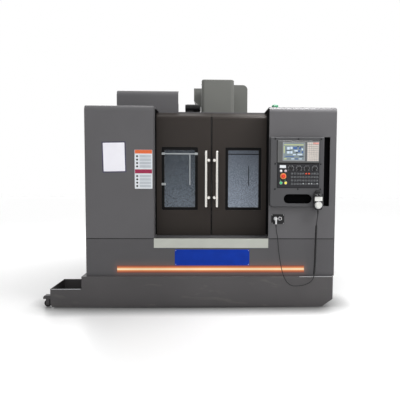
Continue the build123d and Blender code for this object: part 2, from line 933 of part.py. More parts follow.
def make_magazine_cover():
    """Rounded sheet cover around the disc, open underneath; its front runs on as a shield."""
    wall = magazine_right - magazine_shield
    outer = block(
        magazine_left, magazine_right, magazine_front, magazine_front + magazine_depth,
        magazine_bottom, magazine_top)
    outer = fillet(outer.edges().filter_by(Axis.X).sort_by(Axis.Z)[2:], magazine_radius)
    cavity = block(
        magazine_left + sheet, magazine_right, magazine_front + sheet,
        magazine_front + magazine_depth - sheet, magazine_bottom, magazine_top - sheet)
    cavity = fillet(cavity.edges().filter_by(Axis.X).sort_by(Axis.Z)[2:], magazine_radius - sheet)
    behind = block(
        wall, magazine_right, magazine_front + magazine_radius, magazine_front + magazine_depth,
        magazine_bottom, magazine_top)
    cover = outer - cavity - behind
    side = block(
        wall - sheet, wall, magazine_front, magazine_front + magazine_depth,
        magazine_bottom, magazine_top)
    cover += side & outer
    cover -= rod_x(wall - sheet, wall, spindle_y, disc_middle, hub_diameter + 16)
    for y, z in ((-80, -90), (80, -90), (-80, 90), (80, 90)):
        cover += rod_x(
            wall, magazine_right, spindle_y + y, disc_middle + z, magazine_spacer_diameter)
    return cover


def make_changer_box():
    """Cast changer frame: the disc's bearing plate, a bracket to the column and the cam box."""
    left = magazine_right
    right = magazine_right + changer_plate
    front = spindle_y - gearbox_width / 2 - changer_rim
    back = column_front + changer_tail
    outline = [
        (front, gearbox_bottom + changer_foot), (front, disc_middle + changer_shoulder),
        (spindle_y, disc_middle + changer_crown), (back, disc_middle + changer_crown),
        (back, gearbox_bottom + changer_heel), (spindle_y + changer_toe, gearbox_bottom + changer_foot),
    ]
    body = along_x(outline, left, right)
    body -= rod_x(left, right, spindle_y, disc_middle, disc_shaft + 2 * running_gap)
    body += block(
        right, spindle_x - column_width / 2, column_front + changer_rim, back,
        disc_middle - changer_bracket, disc_middle + changer_bracket)
    cam_box = block(
        right, arm_x + gearbox_width / 2, spindle_y - gearbox_width / 2, spindle_y + gearbox_width / 2,
        gearbox_bottom, gearbox_top)
    cam_box = fillet(cam_box.edges().filter_by(Axis.Z).sort_by(Axis.X)[2:], 24)
    body += cam_box
    sleeve_top = arm_bottom + arm_thickness + 20 + sleeve_length
    bore = rod_z(arm_x, spindle_y, gearbox_bottom, sleeve_top, sleeve_diameter + 2 * running_gap)
    return body - bore


def make_changer_motor():
    """Cam motor lying on the changer box, with a foot and a terminal box."""
    axis = gearbox_top + 8 + changer_motor_diameter / 2
    start = arm_x - gearbox_width / 2 + 10
    body = rod_x(start, start + changer_motor_length, spindle_y, axis, changer_motor_diameter)
    for k in range(9):
        x = start + 22 + k * 13
        body += rod_x(x, x + 5, spindle_y, axis, changer_motor_diameter + 8)
    foot = block(
        start + 12, start + gearbox_width - 28, spindle_y - 50, spindle_y + 50,
        gearbox_top, gearbox_top + 18)
    return body + foot


def make_arm_sleeve():
    """Sleeve that lifts and lowers the change arm."""
    bottom = arm_bottom + arm_thickness + slide_gap
    length = sleeve_length
    tube = rod_z(arm_x, spindle_y, bottom, bottom + length, sleeve_diameter)
    return tube - rod_z(arm_x, spindle_y, bottom, bottom + length, arm_shaft_diameter + 2 * running_gap)


def make_change_arm():
    """Double change arm: two open grippers, a hub and its shaft up into the sleeve."""
    outline = SlotOverall(2 * arm_reach + arm_width, arm_width)
    grip = Circle(gripper_diameter / 2)
    mouth = Pos(0, arm_width / 2) * Rectangle(gripper_diameter - 8, arm_width)
    plan = outline - Pos(arm_reach, 0) * (grip + mouth) - Pos(-arm_reach, 0) * Rot(0, 0, 180) * (grip + mouth)
    arm = extrude(plan, arm_thickness)
    arm = Pos(arm_x, spindle_y, arm_bottom) * Rot(0, 0, 90) * arm
    arm += rod_z(arm_x, spindle_y, arm_bottom - 8, arm_bottom + arm_thickness, sleeve_diameter + 20)
    shaft_top = arm_bottom + arm_thickness + sleeve_length - 10
    return arm + rod_z(arm_x, spindle_y, arm_bottom, shaft_top, arm_shaft_diameter)


# Back of the machine

def make_column_cover():
    """Stepped cover over the column's top and the Z motor, with a tail down the right side."""
    outline = [
        (column_cover_left, column_top + 90), (column_cover_left, column_cover_top),
        (column_cover_step, column_cover_top), (column_cover_step, column_cover_high),
        (column_cover_right, column_cover_high), (column_cover_right, column_cover_drop),
        (column_cover_inner, column_cover_drop), (column_cover_inner, column_top),
        (spindle_x - column_width / 2, column_top),
    ]
    body = along_y(outline, column_cover_front, bed_back)
    rounded = body.edges().filter_by(Axis.Y).sort_by(lambda e: -e.center().X - e.center().Z)[0]
    body = fillet(rounded, 60)
    cavity = block(
        spindle_x - column_width / 2 + sheet, column_cover_step - sheet, column_cover_front + sheet,
        bed_back - sheet, column_top, column_cover_top - sheet)
    return body - cavity


def make_electrical_cabinet():
    """Electrical cabinet behind the column: a sheet box with a mounting plate and hinge pins."""
    left = spindle_x - cabinet_width / 2
    right = spindle_x + cabinet_width / 2
    body = block(left, right, bed_back, cabinet_back, cabinet_bottom, cabinet_top)
    body -= block(
        left + sheet, right - sheet, bed_back + sheet, cabinet_back, cabinet_bottom + sheet,
        cabinet_top - sheet)
    body += block(
        left + 60, right - 60, bed_back + sheet, bed_back + sheet + 25, cabinet_bottom + 60,
        cabinet_top - 60)
    axis_x = right + hinge_knuckle_diameter / 2
    axis_y = cabinet_back + hinge_knuckle_diameter / 2
    for z in hinge_levels():
        body += block(right, axis_x, cabinet_back - 40, axis_y, z, z + hinge_knuckle_length)
        body += rod_z(axis_x, axis_y, z, z + hinge_knuckle_length, hinge_knuckle_diameter)
        top = z + 2 * hinge_knuckle_length
        body += rod_z(axis_x, axis_y, z, top, hinge_pin_diameter)
    return body


def hinge_levels():
    """Heights of the cabinet's lower hinge halves."""
    return [cabinet_bottom + 120, (cabinet_bottom + cabinet_top) / 2, cabinet_top - 240]


def make_cabinet_door():
    """Cabinet door: a folded plate with knuckles that turn on the cabinet's pins."""
    left = spindle_x - cabinet_width / 2
    right = spindle_x + cabinet_width / 2
    front = cabinet_back + slide_gap
    back = cabinet_back + cabinet_door_thickness
    body = block(left, right, front, back, cabinet_bottom, cabinet_top)
    body = fillet(body.edges().filter_by(Axis.Y), 6)
    body -= block(
        left + 20, right - 20, front, back - sheet, cabinet_bottom + 20, cabinet_top - 20)
    axis_x = right + hinge_knuckle_diameter / 2
    axis_y = cabinet_back + hinge_knuckle_diameter / 2
    for z in hinge_levels():
        clear = z + hinge_knuckle_length + slide_gap
        end = clear + hinge_knuckle_length
        body -= block(
            right - 8, right + 20, front - 1, back + 1, z - 2, end + 2)
        knuckle = rod_z(axis_x, axis_y, clear, end, hinge_knuckle_diameter)
        knuckle += block(right - 12, axis_x, axis_y, back, clear, end)
        body += knuckle - rod_z(axis_x, axis_y, clear, end, hinge_pin_diameter + 2 * running_gap)
    grip = left + cabinet_handle_inset
    handle = block(
        grip, grip + cabinet_handle_width, back, back + cabinet_handle_depth,
        cabinet_handle_bottom, cabinet_handle_bottom + cabinet_handle_length)
    return body + fillet(handle.edges().filter_by(Axis.Y), 8)


# Doors

def door_outline(inset):
    """Side view of a door: upright face, bend and slanted top; inset moves it inward."""
    slope = math.atan2(door_top - door_bend_height, door_return_end - door_setback)
    turn = (math.pi / 2 - slope) / 2
    bend = inset * math.tan(turn)
    back_y = door_return_end
    back_z = door_top - inset / math.cos(slope)
    return [
        (door_setback + inset, door_bend_height - bend), (back_y, back_z),
    ]


def make_left_door():
    """Left door: a folded pan with a slanted top and a stepped window opening."""
    x0 = -door_split / 2 - door_width
    x1 = -door_split / 2
    front, rear = door_outline(0), door_outline(door_thickness)
    outline = [(door_setback, door_bottom), front[0], front[1], rear[1], rear[0],
               (door_setback + door_thickness, door_bottom)]
    pan = along_x(outline, x0, x1)
    bend = pan.edges().filter_by(Axis.X).filter_by(
        lambda e: abs(e.center().Y - door_setback) < 0.01 and abs(e.center().Z - door_bend_height) < 0.01)
    pan = fillet(bend, door_bend_radius)
    inner, deep = door_outline(sheet), door_outline(door_thickness + 1)
    hollow = [(door_setback + sheet, track_top + sheet), inner[0],
              (inner[1][0] - sheet, inner[1][1] - sheet * 0.3), (deep[1][0] - sheet, deep[1][1]), deep[0],
              (door_setback + door_thickness + 1, track_top + sheet)]
    pan -= along_x(hollow, x0 + sheet, x1 - sheet)
    pan -= block(x0, x1, door_setback + sheet, door_setback + door_thickness + 1, door_bottom, track_top)
    right = x1 - window_edge_offset + door_split / 2
    left = right - window_width
    low, high = window_bottom, window_bottom + window_height
    frame = block(left - sheet, right + sheet, door_setback, door_setback + window_step + sheet,
                  low - sheet, high + sheet)
    pan += frame
    pan -= rounded_y(left, right, door_setback, door_setback + window_step, low, high, 14)
    pan -= rounded_y(left + window_rim, right - window_rim, door_setback, door_setback + 40,
                     low + window_rim, high - window_rim, 10)
    return pan


def make_left_window():
    """Laminated window pane behind the step of the door."""
    right = -window_edge_offset - window_rim + window_lap
    left = -window_edge_offset - window_width + window_rim - window_lap
    front = door_setback + window_step + sheet
    return rounded_y(
        left, right, front, front + window_thickness, window_bottom + window_rim - window_lap,
        window_bottom + window_height - window_rim + window_lap, 8)


def make_left_handle():
    """Tubular handle on two round posts that stand beside it."""
    y = door_setback - handle_standoff
    top = handle_bottom + handle_length
    tube = rod_z(-handle_offset, y, handle_bottom, top, handle_diameter)
    tube = fillet(tube.edges().filter_by(GeomType.CIRCLE), 5)
    for z in (handle_bottom + handle_post_inset, top - handle_post_inset):
        x = -handle_offset + handle_post_offset
        tube += rod_y(x, y - handle_post_diameter / 2, door_setback, z, handle_post_diameter)
        tube += rod_x(-handle_offset, x, y, z, handle_post_diameter - 4)
        tube += rod_y(x, door_setback - 5, door_setback, z, handle_post_diameter + 8)
    return tube


# Coolant tank

def make_coolant_tank():
    """Tank: a covered main part with a chip inlet, a low open tray on the left and an outrigger."""
    left, right = -tank_left, tank_right
    front, back = -tank_proud, tank_depth - tank_proud
    outline = [
        (outrigger_x, tank_ground + 35), (outrigger_x, tray_height), (left, tray_height),
        (left, tank_height), (right, tank_height), (right, tank_ground + tank_chamfer_height),
        (right - tank_chamfer, tank_ground), (outrigger_x + 15, tank_ground),
    ]
    body = along_y(outline, front, back)
    wall = tank_wall
    body -= along_y([
        (left + wall, tank_ground + wall), (left + wall, tank_height - wall),
        (right - wall, tank_height - wall), (right - wall, tank_ground + tank_chamfer_height + wall),
        (right - tank_chamfer - wall, tank_ground + wall),
    ], front + wall, back - wall)
    body -= block(
        -inlet_length / 2, inlet_length / 2, back - wall - inlet_depth, back - wall,
        tank_height - wall, tank_height)
    body -= block(
        outrigger_x + wall, left, front + wall, back - wall, tank_ground + 35, tray_height)
    y = front + 70
    bracket = along_y([
        (outrigger_x, 118), (outrigger_x - outrigger_reach + 14, 118),
        (outrigger_x - outrigger_reach, 104), (outrigger_x - outrigger_reach, 84), (outrigger_x, 84),
    ], y - 30, y + 30)
    wheel_x = outrigger_x - outrigger_reach + 40
    for place in (y, back - 70):
        arm = Pos(0, place - y, 0) * bracket
        for side in (-1, 1):
            fork = place + side * (tank_wheel_width / 2 + slide_gap + outrigger_plate / 2)
            arm += block(
                wheel_x - 17, wheel_x + 17, fork - outrigger_plate / 2, fork + outrigger_plate / 2,
                tank_wheel_diameter / 2 - 14, 86)
        reach = tank_wheel_width / 2 + slide_gap + outrigger_plate
        body += arm + rod_y(wheel_x, place - reach, place + reach, tank_wheel_diameter / 2, tank_axle_diameter)
    x = right - rear_wheel_inset
    for place in (front + 60, back - 60):
        well = tank_wheel_width / 2 + outrigger_plate + slide_gap
        top = tank_wheel_diameter + 6
        body += block(x - 44, x + 44, place - well, place + well, tank_ground, top + wall)
        body -= block(
            x - 40, x + 40, place - tank_wheel_width / 2 - slide_gap,
            place + tank_wheel_width / 2 + slide_gap, tank_ground, top)
        body += rod_y(x, place - well, place + well, tank_wheel_diameter / 2, tank_axle_diameter)
    return body


def wheel(x, y):
    """A tank wheel on its axle."""
    body = rod_y(x, y - tank_wheel_width / 2, y + tank_wheel_width / 2, tank_wheel_diameter / 2,
                 tank_wheel_diameter)
    body = fillet(body.edges().filter_by(GeomType.CIRCLE), 4)
    return body - rod_y(
        x, y - tank_wheel_width, y + tank_wheel_width, tank_wheel_diameter / 2,
        tank_axle_diameter + 2 * running_gap)


def make_tank_wheels_left():
    """The two wheels of the outrigger."""
    x = outrigger_x - outrigger_reach + 40
    front, back = -tank_proud, tank_depth - tank_proud
    return [wheel(x, front + 70), wheel(x, back - 70)]


def make_tank_wheels_right():
    """The two wheels in the wells at the tank's right end."""
    x = tank_right - rear_wheel_inset
    front, back = -tank_proud, tank_depth - tank_proud
    return [wheel(x, front + 60), wheel(x, back - 60)]


# Operator's panel

def stem_bores(spots, depth, diameter):
    """Blind bores behind the panel face, one for each (x, z) spot."""
    start = panel_face - 10
    return [rod_y(x, start, panel_face + depth, z, diameter) for x, z in spots]


def knob_spots():
    """Centres of the four rotary switches."""
    return [(knob_first_x + k * knob_pitch, knob_height_z) for k in range(4)]


def push_spots():
    """Centres of the stop button and the two push buttons."""
    return [(stop_x, stop_z), (start_x, button_z), (hold_x, button_z)]


def make_control_box():
    """Operator's box with seats for the display and the keys, and the long hand pocket."""
    body = block(box_left, box_right, box_front, 0, box_bottom, box_top)
    body = fillet(body.edges().filter_by(Axis.Y).sort_by(Axis.Z)[:2], box_radius)
    front_rim = body.faces().sort_by(Axis.Y)[0].edges()
    body = fillet(front_rim, 5)
    body -= rounded_y(
        display_left, display_right, box_front, box_front + seat_depth, display_bottom, display_top, 8)
    body -= block(
        panel_left, panel_right, box_front, box_front + panel_thickness - panel_proud,
        panel_bottom, panel_top)
    width = pocket_right - pocket_left
    height = pocket_top - pocket_bottom
    middle = Pos((pocket_left + pocket_right) / 2, box_front, (pocket_bottom + pocket_top) / 2)
    pocket = extrude(SlotOverall(width, height), pocket_depth)
    body -= middle * Rot(-90, 0, 0) * pocket
    for bore in stem_bores(push_spots(), stem_length + 8, stem_diameter + 2 * running_gap):
        body -= bore
    for bore in stem_bores(knob_spots(), stem_length, knob_shaft + 2 * running_gap):
        body -= bore
    return body


def make_display_unit():
    """Display: a rounded bezel with a sunken screen and a keypad of raised keys."""
    back = box_front + seat_depth
    body = rounded_y(
        display_left, display_right, display_face, back, display_bottom, display_top, 8)
    body = chamfer(body.faces().sort_by(Axis.Y)[0].edges(), 3)
    body -= block(
        screen_left, screen_right, display_face, display_face + 3,
        display_bottom + screen_inset, display_top - screen_inset)
    for column in range(keypad_columns):
        for row in range(keypad_rows):
            x = keypad_left + column * keypad_pitch_x
            z = display_bottom + screen_inset - 4 + row * keypad_pitch_z
            body += block(x, x + key_size, display_face - key_height, display_face, z, z + key_size)
    return body


def make_key_panel():
    """Key panel: a plate with raised keys, collars round the buttons and bores for the stems."""
    body = block(
        panel_left, panel_right, panel_face, panel_face + panel_thickness, panel_bottom, panel_top)
    for column in range(soft_key_columns):
        for row in range(soft_key_rows):
            x = soft_key_left + column * soft_key_pitch_x
            z = soft_key_bottom + row * soft_key_pitch_z
            body += block(x, x + 20, panel_face - 1.5, panel_face, z, z + 17)
    ring = rod_y(stop_x, panel_face - 3, panel_face, stop_z, stop_ring)
    body += ring
    for x in (start_x, hold_x):
        collar = rod_y(x, panel_face - 7, panel_face, button_z, button_ring)
        collar -= rod_y(x, panel_face - 7, panel_face, button_z, button_diameter + 1)
        body += collar
    for x in (start_x, hold_x):
        lens = rod_y(x, panel_face - 9, panel_face, knob_height_z - 27, 20)
        body += fillet(lens.edges().filter_by(GeomType.CIRCLE).sort_by(Axis.Y)[0], 4)
    for bore in stem_bores(push_spots(), panel_thickness + 5, stem_diameter + 2 * running_gap):
        body -= bore
    for bore in stem_bores(knob_spots(), panel_thickness + 5, knob_shaft + 2 * running_gap):
        body -= bore
    return body


def push_stem(x, z, start, end):
    """The round stem of a push button."""
    return rod_y(x, start, end, z, stem_diameter)


def make_emergency_stop():
    """Mushroom-headed emergency stop, turned in one piece with its stem."""
    face = panel_face - 3
    under = face - stop_travel - 2
    cap = rod_y(stop_x, under - 12, under, stop_z, stop_cap)
    cap = fillet(cap.edges().filter_by(GeomType.CIRCLE).sort_by(Axis.Y)[0], 7)
    return cap + push_stem(stop_x, stop_z, under - 2, panel_face + stem_length)


def push_button(x):
    """Flat push button inside its collar."""
    front = panel_face - 10
    cap = rod_y(x, front, front + 5, button_z, button_diameter)
    cap = fillet(cap.edges().filter_by(GeomType.CIRCLE).sort_by(Axis.Y)[0], 2)
    return cap + push_stem(x, button_z, front + 4, panel_face + stem_length)


def make_knob(index):
    """Rotary switch knob: a fluted grip with a pointer and its shaft."""
    x, z = knob_spots()[index]
    foot = panel_face - 0.3
    grip = rod_y(x, foot - knob_height, foot, z, knob_diameter)
    grip = chamfer(grip.edges().filter_by(GeomType.CIRCLE).sort_by(Axis.Y)[0], 2)
    for k in range(10):
        angle = math.radians(k * 36)
        radius = knob_diameter / 2 + 1.5
        grip -= rod_y(
            x + radius * math.cos(angle), foot - knob_height, foot - 4, z + radius * math.sin(angle), 6)
    grip += block(x - 2, x + 2, foot - knob_height - 3, foot - knob_height, z - 4, z + 13)
    return grip + rod_y(x, foot, panel_face + stem_length - 2, z, knob_shaft)


# Sockets and pendant

def make_connector_panel():
    """Socket plate with two round sockets for the pendant's plug."""
    t = socket_panel_thickness
    body = rounded_y(
        socket_panel_left, socket_panel_right, -t, 0, socket_panel_bottom, socket_panel_top, 4)
    for k in range(2):
        x = socket_first_x + k * socket_pitch
        body += rod_y(x, -t - socket_proud, -t, socket_z, socket_outer)
        body -= rod_y(x, -t - socket_proud, -t + 1, socket_z, socket_inner)
    return body


def make_cord_plug():
    """Angled plug: a sleeve in the left socket, a coupling nut and a tail that points down."""
    seat = -socket_panel_thickness + 1
    mouth = -socket_panel_thickness - socket_proud
    x = socket_first_x
    body = rod_y(x, mouth, seat - 0.5, socket_z, socket_inner - 1)
    body += rod_y(x, mouth - plug_length * 0.45, mouth - 0.3, socket_z, plug_nut + 6)
    body += rod_y(x, mouth - plug_length, mouth, socket_z, plug_nut - 3)
    drop_y = mouth - plug_length + plug_tail / 2
    body += rod_z(x, drop_y, socket_z - plug_drop, socket_z, plug_tail)
    return body


def make_pendant_holder():
    """Holder plate on the operator's box with a lip over the pendant's top."""
    plate = rounded_y(
        pendant_x - holder_width / 2, pendant_x + holder_width / 2, pendant_back, box_front,
        holder_bottom, holder_top, 5)
    lip = block(
        pendant_x - holder_width / 2, pendant_x + holder_width / 2, pendant_back - 16, pendant_back,
        pendant_top, holder_top - 8)
    return plate + fillet(lip.edges().filter_by(Axis.X).sort_by(Axis.Y)[:2], 5)


def make_pendant_body():
    """Handwheel pendant: a waisted housing with rounded edges and a gland under it."""
    top, waist = pendant_width / 2, pendant_waist / 2
    middle = (pendant_top + pendant_bottom) / 2
    outline = [
        (pendant_x - top, pendant_top), (pendant_x + top, pendant_top), (pendant_x + top, middle + 24),
        (pendant_x + waist, middle - 6), (pendant_x + waist, pendant_bottom),
        (pendant_x - waist, pendant_bottom), (pendant_x - waist, middle - 6),
        (pendant_x - top, middle + 24),
    ]
    body = along_y(outline, pendant_front, pendant_back)
    body = fillet(body.edges().filter_by(Axis.Y), pendant_radius)
    body = chamfer(body.faces().sort_by(Axis.Y)[0].edges(), 4)
    depth = (pendant_front + pendant_back) / 2
    gland = rod_z(pendant_x, depth, pendant_bottom - gland_length, pendant_bottom, 16)
    body += gland
    bore = rod_y(pendant_x, pendant_front, pendant_front + 20, wheel_z, knob_shaft + 2 * running_gap)
    body -= bore
    for side in (-1, 1):
        x = pendant_x + side * selector_spacing / 2
        body -= rod_y(x, pendant_front, pendant_front + 14, selector_z, knob_shaft - 2 + 2 * running_gap)
    return body


def make_pendant_wheel():
    """Handwheel: a dished disc with a small crank knob and its shaft."""
    back = pendant_front - 0.3
    disc = rod_y(pendant_x, back - wheel_height, back, wheel_z, wheel_diameter)
    disc = fillet(disc.edges().filter_by(GeomType.CIRCLE).sort_by(Axis.Y)[0], 4)
    disc -= rod_y(pendant_x, back - wheel_height, back - wheel_height + 4, wheel_z, wheel_diameter - 16)
    crank = rod_y(pendant_x - 16, back - wheel_height - 10, back - wheel_height + 6, wheel_z + 8, wheel_crank)
    return disc + crank + rod_y(pendant_x, back - 1, pendant_front + 18, wheel_z, knob_shaft)


def make_pendant_selector(side):
    """Small selector knob of the pendant with a raised pointer bar."""
    x = pendant_x + side * selector_spacing / 2
    back = pendant_front - 0.3
    knob = rod_y(x, back - 6, back, selector_z, selector_diameter)
    bar = block(x - 3, x + 3, back - selector_height, back - 6, selector_z - 8, selector_z + 8)
    knob += fillet(bar.edges().filter_by(Axis.Y), 2)
    return knob + rod_y(x, back - 1, pendant_front + 12, selector_z, knob_shaft - 2)


def make_signal_lamp():
    """Signal lamp on the right housing: a base ring and a domed lens."""
    base = rod_z(lamp_x, lamp_y, guard_top, guard_top + 12, lamp_diameter)
    lens = rod_z(lamp_x, lamp_y, guard_top + 12, guard_top + lamp_height, lamp_diameter - 6)
    return base + fillet(lens.edges().filter_by(GeomType.CIRCLE).sort_by(Axis.Z)[-1], 12)


# Cord of the pendant. A straight lead runs into a hanging coil, and a tail goes up to the plug.
cord_start = Vector(pendant_x, (pendant_front + pendant_back) / 2, pendant_bottom - gland_length)
plug_y = -socket_panel_thickness - socket_proud - plug_length + plug_tail / 2
cord_end = Vector(socket_first_x, plug_y, socket_z - plug_drop)
lead_points = [cord_start, cord_start - Vector(0, 0, 44), Vector(1047, -80, 882)]
coil_points = [Vector(1043, -74, 820), Vector(1041, -70, 560), Vector(1034, -70, 378)]
tail_points = [
    Vector(1028, -70, 308), Vector(994, -70, 266), Vector(938, -70, 242), Vector(868, -70, 230),
    Vector(800, -69, 233), Vector(750, -68, 276), Vector(716, -66, 352), Vector(696, -64, 444),
    Vector(678, -62, 548), Vector(667, -61, 650), Vector(660, -58, 734), cord_end - Vector(0, 0, 58), cord_end,
]


def between(first, second, share):
    """A point on the run between two points."""
    return first + (second - first) * share


def cord_path(points):
    """Straight runs joined by arcs as large as their runs allow; gives the path and the radii."""
    radii = []
    for before, here, after in zip(points, points[1:], points[2:]):
        turn = (here - before).get_angle(after - here)
        shorter = min((here - before).length, (after - here).length)
        radii.append(0.45 * shorter / math.tan(math.radians(turn) / 2))
    return FilletPolyline(points, radius=radii), radii


def tube(points, diameter):
    """A round tube along a route."""
    path, radii = cord_path(points)
    plane = Plane(origin=path @ 0, z_dir=path % 0)
    body = sweep(plane * Circle(diameter / 2), path=path)
    print("cord radii", [round(r) for r in radii], "length", round(path.length))
    print("volume over section times length", round(body.volume / (math.pi * diameter**2 / 4 * path.length), 4))
    return body


coil_top = between(lead_points[-1], coil_points[0], 0.5)
coil_end = between(coil_points[-1], tail_points[0], 0.5)


def make_pendant_cord():
    """The straight lead under the pendant and the tail from the coil to the plug."""
    lead = tube(lead_points + [coil_top], cord_diameter)
    tail = tube([coil_end] + tail_points, cord_diameter)
    return [lead, tail]


def make_pendant_coil():
    """Outer form of the coiled stretch of the cord."""
    return tube([coil_top] + coil_points + [coil_end], coil_diameter)


def build_pieces():
    """Every named piece of the machine, in the drawing's own place."""
    pieces = {
        "bed": make_bed(),
        "levelling_feet": make_levelling_feet(),
        "column": make_column(),
        "axis_motors": make_axis_motors(),
        "y_screw": make_y_screw(),
        "x_screw": make_x_screw(),
        "z_screw": make_z_screw(),
        "saddle": make_saddle(),
        "x_axis_motor": make_x_axis_motor(),
        "table": make_table(),
        "way_cover_front": way_cover(1),
        "way_cover_middle": way_cover(2),
        "spindle_head": make_spindle_head(),
        "head_cover": make_head_cover(),
        "spindle": make_spindle(),
        "tool_disc": make_tool_disc(),
        "magazine_cover": make_magazine_cover(),
        "changer_box": make_changer_box(),
        "changer_motor": make_changer_motor(),
        "arm_sleeve": make_arm_sleeve(),
        "change_arm": make_change_arm(),
        "column_cover": make_column_cover(),
        "electrical_cabinet": make_electrical_cabinet(),
        "cabinet_door": make_cabinet_door(),
        "left_housing": make_left_housing(),
        "right_housing": make_right_housing(),
        "lower_guard": make_lower_guard(),
        "enclosure_panels": make_enclosure_panels(),
        "chip_pan": make_chip_pan(),
        "sill_plate": make_sill_plate(),
        "light_bar": make_light_bar(),
        "signal_lamp": make_signal_lamp(),
        "left_door": make_left_door(),
        "left_window": make_left_window(),
        "left_handle": make_left_handle(),
        "coolant_tank": make_coolant_tank(),
        "tank_wheels_left": make_tank_wheels_left(),
        "tank_wheels_right": make_tank_wheels_right(),
        "control_box": make_control_box(),
        "display_unit": make_display_unit(),
        "key_panel": make_key_panel(),
        "emergency_stop": make_emergency_stop(),
        "start_button": push_button(start_x),
        "hold_button": push_button(hold_x),
        "connector_panel": make_connector_panel(),
        "cord_plug": make_cord_plug(),
        "pendant_holder": make_pendant_holder(),
        "pendant_body": make_pendant_body(),
        "pendant_wheel": make_pendant_wheel(),
        "pendant_axis_knob": make_pendant_selector(-1),
        "pendant_step_knob": make_pendant_selector(1),
        "pendant_cord": make_pendant_cord(),
        "pendant_coil": make_pendant_coil(),
    }
    for index in range(4):
        pieces[f"knob_{index + 1}"] = make_knob(index)
    for name in ("door", "window", "handle"):
        pieces[f"right_{name}"] = mirrored(pieces[f"left_{name}"])
    return pieces


# The origin goes to the middle of the footprint, on the floor.
left_end = outrigger_x - outrigger_reach
front_end = pendant_front - 0.3 - wheel_height - 10
back_end = cabinet_back + cabinet_door_thickness + 14
origin = Vector((left_end + half) / 2, (front_end + back_end) / 2, 0)

pieces = build_pieces()
os.makedirs("parts", exist_ok=True)
for name, shape in pieces.items():
    solids = []
    for item in (shape if isinstance(shape, list) else [shape]):
        solids += item.solids()
    placed = [Pos(-origin.X, -origin.Y, -origin.Z) * solid for solid in solids]
    export_step(placed[0] if len(placed) == 1 else Compound(children=placed), f"parts/{name}.step")
print("origin", origin, "pieces", len(pieces))
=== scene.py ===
"""Dressed model of a vertical machining centre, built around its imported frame.

Lengths in the classes are millimetres in the guard's own axes: X is 0 in the middle of the
guard and runs to the right, Y is 0 at the guard's front plane and runs to the back, and Z is 0
on the floor. `row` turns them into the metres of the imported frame.
"""

from __future__ import annotations

import json
import logging
import math
from dataclasses import dataclass, field
from enum import Enum
from itertools import product
from typing import Any, Iterable, Sequence

import bmesh
import bpy
import numpy as np
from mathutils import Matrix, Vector

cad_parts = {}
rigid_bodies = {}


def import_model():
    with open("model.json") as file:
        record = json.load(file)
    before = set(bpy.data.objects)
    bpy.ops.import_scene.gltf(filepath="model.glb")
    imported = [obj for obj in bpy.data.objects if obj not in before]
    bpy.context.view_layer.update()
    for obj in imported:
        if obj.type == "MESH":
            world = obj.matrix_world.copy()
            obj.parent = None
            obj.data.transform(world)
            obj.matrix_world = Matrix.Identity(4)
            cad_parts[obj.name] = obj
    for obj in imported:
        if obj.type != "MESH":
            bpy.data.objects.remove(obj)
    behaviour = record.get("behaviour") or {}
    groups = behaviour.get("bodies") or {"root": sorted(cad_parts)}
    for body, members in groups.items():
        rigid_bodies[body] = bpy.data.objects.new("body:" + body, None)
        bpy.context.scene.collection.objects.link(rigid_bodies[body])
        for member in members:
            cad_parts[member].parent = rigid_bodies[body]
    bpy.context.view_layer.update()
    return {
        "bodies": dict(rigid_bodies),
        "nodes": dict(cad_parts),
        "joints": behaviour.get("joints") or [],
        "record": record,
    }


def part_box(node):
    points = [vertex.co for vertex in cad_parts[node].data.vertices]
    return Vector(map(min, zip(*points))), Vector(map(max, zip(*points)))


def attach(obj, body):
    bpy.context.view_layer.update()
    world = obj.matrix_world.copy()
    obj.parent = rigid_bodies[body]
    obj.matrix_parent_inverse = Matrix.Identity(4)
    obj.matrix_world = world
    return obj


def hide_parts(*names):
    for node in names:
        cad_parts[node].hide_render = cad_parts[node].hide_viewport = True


LOG = logging.getLogger("machining_centre")
GUARD_MIDDLE = -219.0
FOOTPRINT_MIDDLE = 1149.85
ROOT = "machine"
PHOTO_PIXELS = 400
CORNER_STEPS = 5

Point = tuple[float, float, float]
Colour = tuple[float, float, float]
Pair = tuple[float, float]
Values = dict[str | int, Any]
Joint = tuple[bpy.types.Node, str | int, bpy.types.Node, str | int]


def row(x: float, y: float, z: float) -> Point:
    """Turn a place on the guard, in millimetres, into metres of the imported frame."""
    return ((x - GUARD_MIDDLE) / 1000, (y - FOOTPRINT_MIDDLE) / 1000, z / 1000)


def light(red: float, green: float, blue: float) -> Colour:
    """Turn a display colour into linear light.

    Args:
        red: Display red from 0 to 255.
        green: Display green from 0 to 255.
        blue: Display blue from 0 to 255.

    Returns:
        The linear red, green and blue.
    """
    values = np.array([red, green, blue]) / 255
    linear = np.where(values <= 0.04045, values / 12.92, ((values + 0.055) / 1.055) ** 2.4)
    return tuple(float(value) for value in linear)


class Side(Enum):
    """Left or right half of the machine, seen by the operator."""

    LEFT = -1
    RIGHT = 1

    @property
    def word(self) -> str:
        """Name of the side as it stands in piece names."""
        return self.name.lower()


class Facing(Enum):
    """Way that a flat detail faces, with its width and height directions."""

    FRONT = ((1, 0, 0), (0, 0, 1), (0, -1, 0))
    BACK = ((-1, 0, 0), (0, 0, 1), (0, 1, 0))
    LEFT = ((0, -1, 0), (0, 0, 1), (-1, 0, 0))
    RIGHT = ((0, 1, 0), (0, 0, 1), (1, 0, 0))
    UP = ((1, 0, 0), (0, 1, 0), (0, 0, 1))
    DOWN = ((-1, 0, 0), (0, 1, 0), (0, 0, -1))

    @property
    def axes(self) -> np.ndarray:
        """Width, height and outward directions, one in each row."""
        return np.array(self.value, dtype=float)


